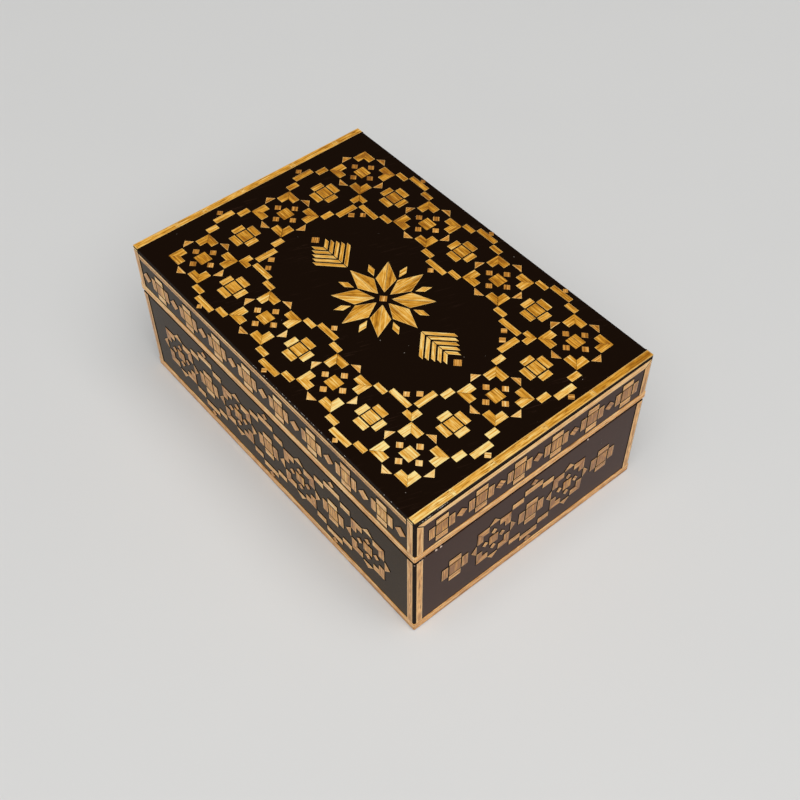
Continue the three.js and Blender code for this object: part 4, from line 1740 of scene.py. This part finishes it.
@dataclass
class TrimRing:
    """Straw trims that run right round the lid or the base and meet in mitres at the corners."""

    low: Vector
    high: Vector
    arris: float = 0.42 * MM
    thickness: float = 0.3 * MM
    mitre_gap: float = 0.03 * MM
    eased: float = 0.07 * MM
    eased_from: float = math.radians(60)
    blush: float = 0.95
    edge: float = 0.15
    fleck: float = 0.42

    def side_piece(self, side: Side, tone: float) -> bmesh.types.BMesh:
        """Builds the trim of one side.

        Args:
            side: the side.
            tone: the lightness of its straw.

        Returns:
            A closed mesh with its grain mapped along the side.
        """
        shape = self._ring()
        middle = (self.low + self.high) / 2
        half = (self.high - self.low) / 2
        across, _, out = side.axes
        reach, depth = (abs(half.x * axis.x + half.y * axis.y) for axis in (across, out))
        for sign in (-1, 1):
            corner = middle + across * sign * (reach - self.mitre_gap) + out * depth
            cut = bmesh.ops.bisect_plane(
                shape, geom=[*shape.verts, *shape.edges, *shape.faces], dist=1e-7, plane_co=corner,
                plane_no=(across * sign - out).normalized(), clear_outer=True,
            )
            edges = [item for item in cut["geom_cut"] if isinstance(item, bmesh.types.BMEdge)]
            bmesh.ops.holes_fill(shape, edges=edges, sides=0)
        bmesh.ops.recalc_face_normals(shape, faces=shape.faces)
        self._dress(shape, side, tone)
        return shape

    def _ring(self) -> bmesh.types.BMesh:
        """Builds the whole ring.

        Returns:
            A closed mesh with its rims eased.
        """
        shape = LacquerShell(self.low, self.high, True, self.arris, self.thickness).build()
        rims = [
            edge for edge in shape.edges
            if len(edge.link_faces) == 2 and edge.calc_face_angle(0.0) > self.eased_from
        ]
        ease(shape, rims, self.eased)
        for face in shape.faces:
            face.smooth = False
        return shape

    def _dress(self, shape: bmesh.types.BMesh, side: Side, tone: float) -> None:
        """Maps the grain along the side and sets the straw layer.

        Args:
            shape: the mesh of the side's trim.
            side: the side.
            tone: the lightness of its straw.
        """
        chance = random.Random(f"ring {side.label} {self.low.z:.4f}")
        layer = shape.verts.layers.float_color.new(STRAW_LAYER)
        for vert in shape.verts:
            rim = min(vert.co.z - self.low.z, self.high.z - vert.co.z) < 0.5 * self.eased
            vert[layer] = (tone, self.blush, self.edge if rim else 0.0, self.fleck)
        map_grain(shape, side, Vector((1.0, 0.0)), chance)


@dataclass
class StrawBox:
    """The whole box: lacquer shells, straw, boards and hinges.

    Each lane of a ring of trim is where it starts and ends, as shares of the trim's height, and its tone.
    """

    nodes: dict[str, bpy.types.Object]
    finishes: Finishes = field(default_factory=Finishes)
    board_ease: float = 0.15 * MM
    hinge_ease: float = 0.06 * MM
    ease_from: float = math.radians(40)
    rim_wear: float = 0.6 * MM
    rim_chamfer: float = 0.20 * MM
    leaf_room: float = 0.2 * MM
    strip_width: float = 2.2 * MM
    mitre_rise: float = 2.4 * MM
    facet_height: float = 0.75 * MM
    lower_lanes: tuple[tuple[float, float, float], ...] = ((0.13, 0.44, 0.62), (0.51, 1.0, 0.74))
    foot_lanes: tuple[tuple[float, float, float], ...] = ((0.0, 0.32, 0.34), (0.36, 1.0, 0.62))
    short_side_drop: float = 0.10
    band_set: float = 0.01
    band_share: float = 0.80
    gap_share: float = 0.22

    def build(self) -> None:
        """Builds every piece and dresses the nodes that stay."""
        for name in (*self._nodes_named("wall"), *self._nodes_named("board")):
            self._dress_node(name, self.finishes.wood, self.board_ease)
        for name in self._nodes_named("hinge"):
            self._dress_node(name, self.finishes.brass, self.hinge_ease)
        self._build_part(Part.BASE, UPRIGHT_SIDES)
        self._build_part(Part.LID, (*UPRIGHT_SIDES, Side.TOP))

    def _nodes_named(self, *words: str) -> list[str]:
        """The names of the nodes that hold all of these words."""
        return [name for name in self.nodes if all(word in name for word in words)]

    def _dress_node(self, name: str, material: bpy.types.Material, width: float) -> None:
        """Gives a node of the model its finish and rounded edges.

        Args:
            name: its name.
            material: its finish.
            width: the width of the rounding.
        """
        node = self.nodes[name]
        node.data.materials.clear()
        node.data.materials.append(material)
        weld = node.modifiers.new("weld", "WELD")
        weld.merge_threshold = WELD
        bevel = node.modifiers.new("eased edges", "BEVEL")
        bevel.width = width
        bevel.segments = 2
        bevel.limit_method = "ANGLE"
        bevel.angle_limit = self.ease_from
        LOG.info("%s: dressed", name)

    def _build_part(self, part: Part, sides: Sequence[Side]) -> None:
        """Builds the lacquer and the straw of the lid or the base.

        Args:
            part: which of them.
            sides: its faces.
        """
        is_lid = part is Part.LID
        inlays = [f"{part.value}_{side.label}_inlay" for side in sides]
        boxes = [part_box(name) for name in inlays]
        low = Vector(min(box[0][k] for box in boxes) for k in range(3))
        high = Vector(max(box[1][k] for box in boxes) for k in range(3))
        proud = Vector((SIDE_INLAY.proud, SIDE_INLAY.proud, 0.0))
        sunk = Vector((0.0, 0.0, TOP_INLAY.proud if is_lid else self.rim_wear))
        chamfer = 0.0 if is_lid else self.rim_chamfer
        shell = LacquerShell(low + proud, high - proud - sunk, not is_lid, rim_chamfer=chamfer)
        lacquer = hollow(shell.build(), self._leaf_rooms())
        for side, inlay in zip(sides, inlays):
            strips = self._strips_of(part, side)
            sheet = self._straw_of(side, inlay, strips)
            append(lacquer, sheet.creep)
            name = f"{part.value}_{side.label}_straw"
            nodes = [inlay, *(strip.node for strip in strips)]
            add_piece(name, sheet.straw, self.finishes.straw, part, nodes)
        name = f"{part.value}_lacquer"
        skin = add_piece(name, lacquer, self.finishes.lacquer, part, inlays)
        normals = skin.modifiers.new("weighted normals", "WEIGHTED_NORMAL")
        normals.weight = 100
        normals.keep_sharp = True
        self._build_rings(part, low, high)

    def _leaf_rooms(self) -> list[Box]:
        """Finds the rooms in which the hinge leaves lie.

        Returns:
            Their lowest and highest corners.
        """
        spare = Vector((1.0, 1.0, 1.0)) * self.leaf_room
        boxes = [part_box(name) for name in self._nodes_named("hinge", "_leaf")]
        return [(low - spare, high + spare) for low, high in boxes]

    def _straw_of(self, side: Side, inlay: str, strips: Sequence[Strip]) -> StrawSheet:
        """Lays all the straw of one face of the lid or the base.

        Args:
            side: the face.
            inlay: the name of its inlay node.
            strips: the strips along its edges.

        Returns:
            The straw, with the lacquer that creeps up it.
        """
        node = self.nodes[inlay]
        level = max(vert.co.dot(side.out) for vert in node.data.vertices)
        sheet = StrawSheet(side, level)
        cutter = StrawCutter(side, level, read_outlines(node, side))
        for piece in cutter.pieces():
            sheet.lay(piece)
        for strip in strips:
            strip.lay(sheet, cutter)
        LOG.info("%s: %d pieces of straw", inlay, sheet.count)
        return sheet

    def _strips_of(self, part: Part, side: Side) -> list[Strip]:
        """Plans the flat straw strips on a face.

        Args:
            part: the lid or the base.
            side: the face.

        Returns:
            The strips along its edges.
        """
        if side is Side.TOP:
            return [self._band(name) for name in self._nodes_named("lid_top_", "_band")]
        place = f"{part.value}_{side.label}"
        uprights = [self._upright(part, side, name) for name in self._nodes_named(f"{place}_strip")]
        trims = [self._upper_trim(side, name) for name in self._nodes_named(f"{place}_upper_trim")]
        return [*uprights, *trims]

    def _band(self, name: str) -> Strip:
        """Plans a band across the top, in short lengths with a pale bit between each two.

        Args:
            name: its node.

        Returns:
            The strip.
        """
        at_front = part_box(name)[0].y < 0
        # Painted highlight: the front band is painted pale at the near corner and dark at its far end
        return Strip(
            Side.TOP, name, lanes=(self.band_share,),
            first=self.band_set if at_front else 1 - self.band_set - self.band_share,
            tones=(0.19 if at_front else 0.42,), blush=0.0, near_lift=0.60, joint=0.05 * MM, fleck=0.85,
            least_length=8 * MM, most_length=19 * MM, pale_bits=True,
        )

    def _upper_trim(self, side: Side, name: str) -> Strip:
        """Plans the trim under the top's edge: two lanes on a long side, one with mitred ends on a short one.

        Args:
            side: the face.
            name: its node.

        Returns:
            The strip.
        """
        if side in LONG_SIDES:
            return Strip(side, name, lanes=(0.42, 0.48), tones=(0.32, 0.68))
        width = self.strip_width
        gap = self.gap_share
        return Strip(
            side, name, tones=(0.54,), blush=0.85, near_lift=0.28, taper=gap,
            mitre_start=(width, -width * gap / (1 - gap)), mitre_end=(-width, 0.0),
        )

    def _upright(self, part: Part, side: Side, name: str) -> Strip:
        """Plans a strip beside an upright corner, mitred under the upper trim on the lid's short sides.

        Args:
            part: the lid or the base.
            side: the face.
            name: its node.

        Returns:
            The strip.
        """
        if part is Part.BASE:
            return Strip(side, name, tones=(0.40,), edge=0.7)
        if side in LONG_SIDES:
            return Strip(side, name, tones=(0.40,), edge=0.7, pale_end=self.facet_height)
        low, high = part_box(name)
        if side.flat((low + high) / 2).x < 0:
            rises = (self.mitre_rise * (1 - self.gap_share), 0.0)
        else:
            rises = (0.0, self.mitre_rise)
        return Strip(side, name, tones=(0.34,), edge=0.7, mitre_end=rises)

    def _build_rings(self, part: Part, low: Vector, high: Vector) -> None:
        """Builds the trims that run right round the lid's lower edge or the base's foot.

        Args:
            part: the lid or the base.
            low: its lowest corner.
            high: its highest corner.
        """
        is_lid = part is Part.LID
        foot, head = (corner.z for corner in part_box("lid_left_lower_trim" if is_lid else "base_foot_trim"))
        for side in UPRIGHT_SIDES:
            # Painted shade: the rings of the short sides are painted darker
            drop = 0.0 if side in LONG_SIDES else self.short_side_drop
            shape = bmesh.new()
            for start, end, tone in self.lower_lanes if is_lid else self.foot_lanes:
                ring = TrimRing(
                    Vector((low.x, low.y, foot + start * (head - foot))),
                    Vector((high.x, high.y, foot + end * (head - foot))),
                )
                append(shape, ring.side_piece(side, tone - drop))
            if side is Side.BACK:
                shape = hollow(shape, self._leaf_rooms())
            name = f"{part.value}_{side.label}_{'lower' if is_lid else 'foot'}_straw_trim"
            node = f"lid_{side.label}_lower_trim" if is_lid else "base_foot_trim"
            add_piece(name, shape, self.finishes.straw, part, [node])


def main() -> None:
    """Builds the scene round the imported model."""
    logging.basicConfig(level=logging.INFO, format="%(message)s")
    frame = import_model()
    bpy.context.scene.view_settings.view_transform = "Standard"
    Camera().build()
    Studio().build()
    StrawBox(frame["nodes"]).build()


if __name__ == "__main__":
    main()
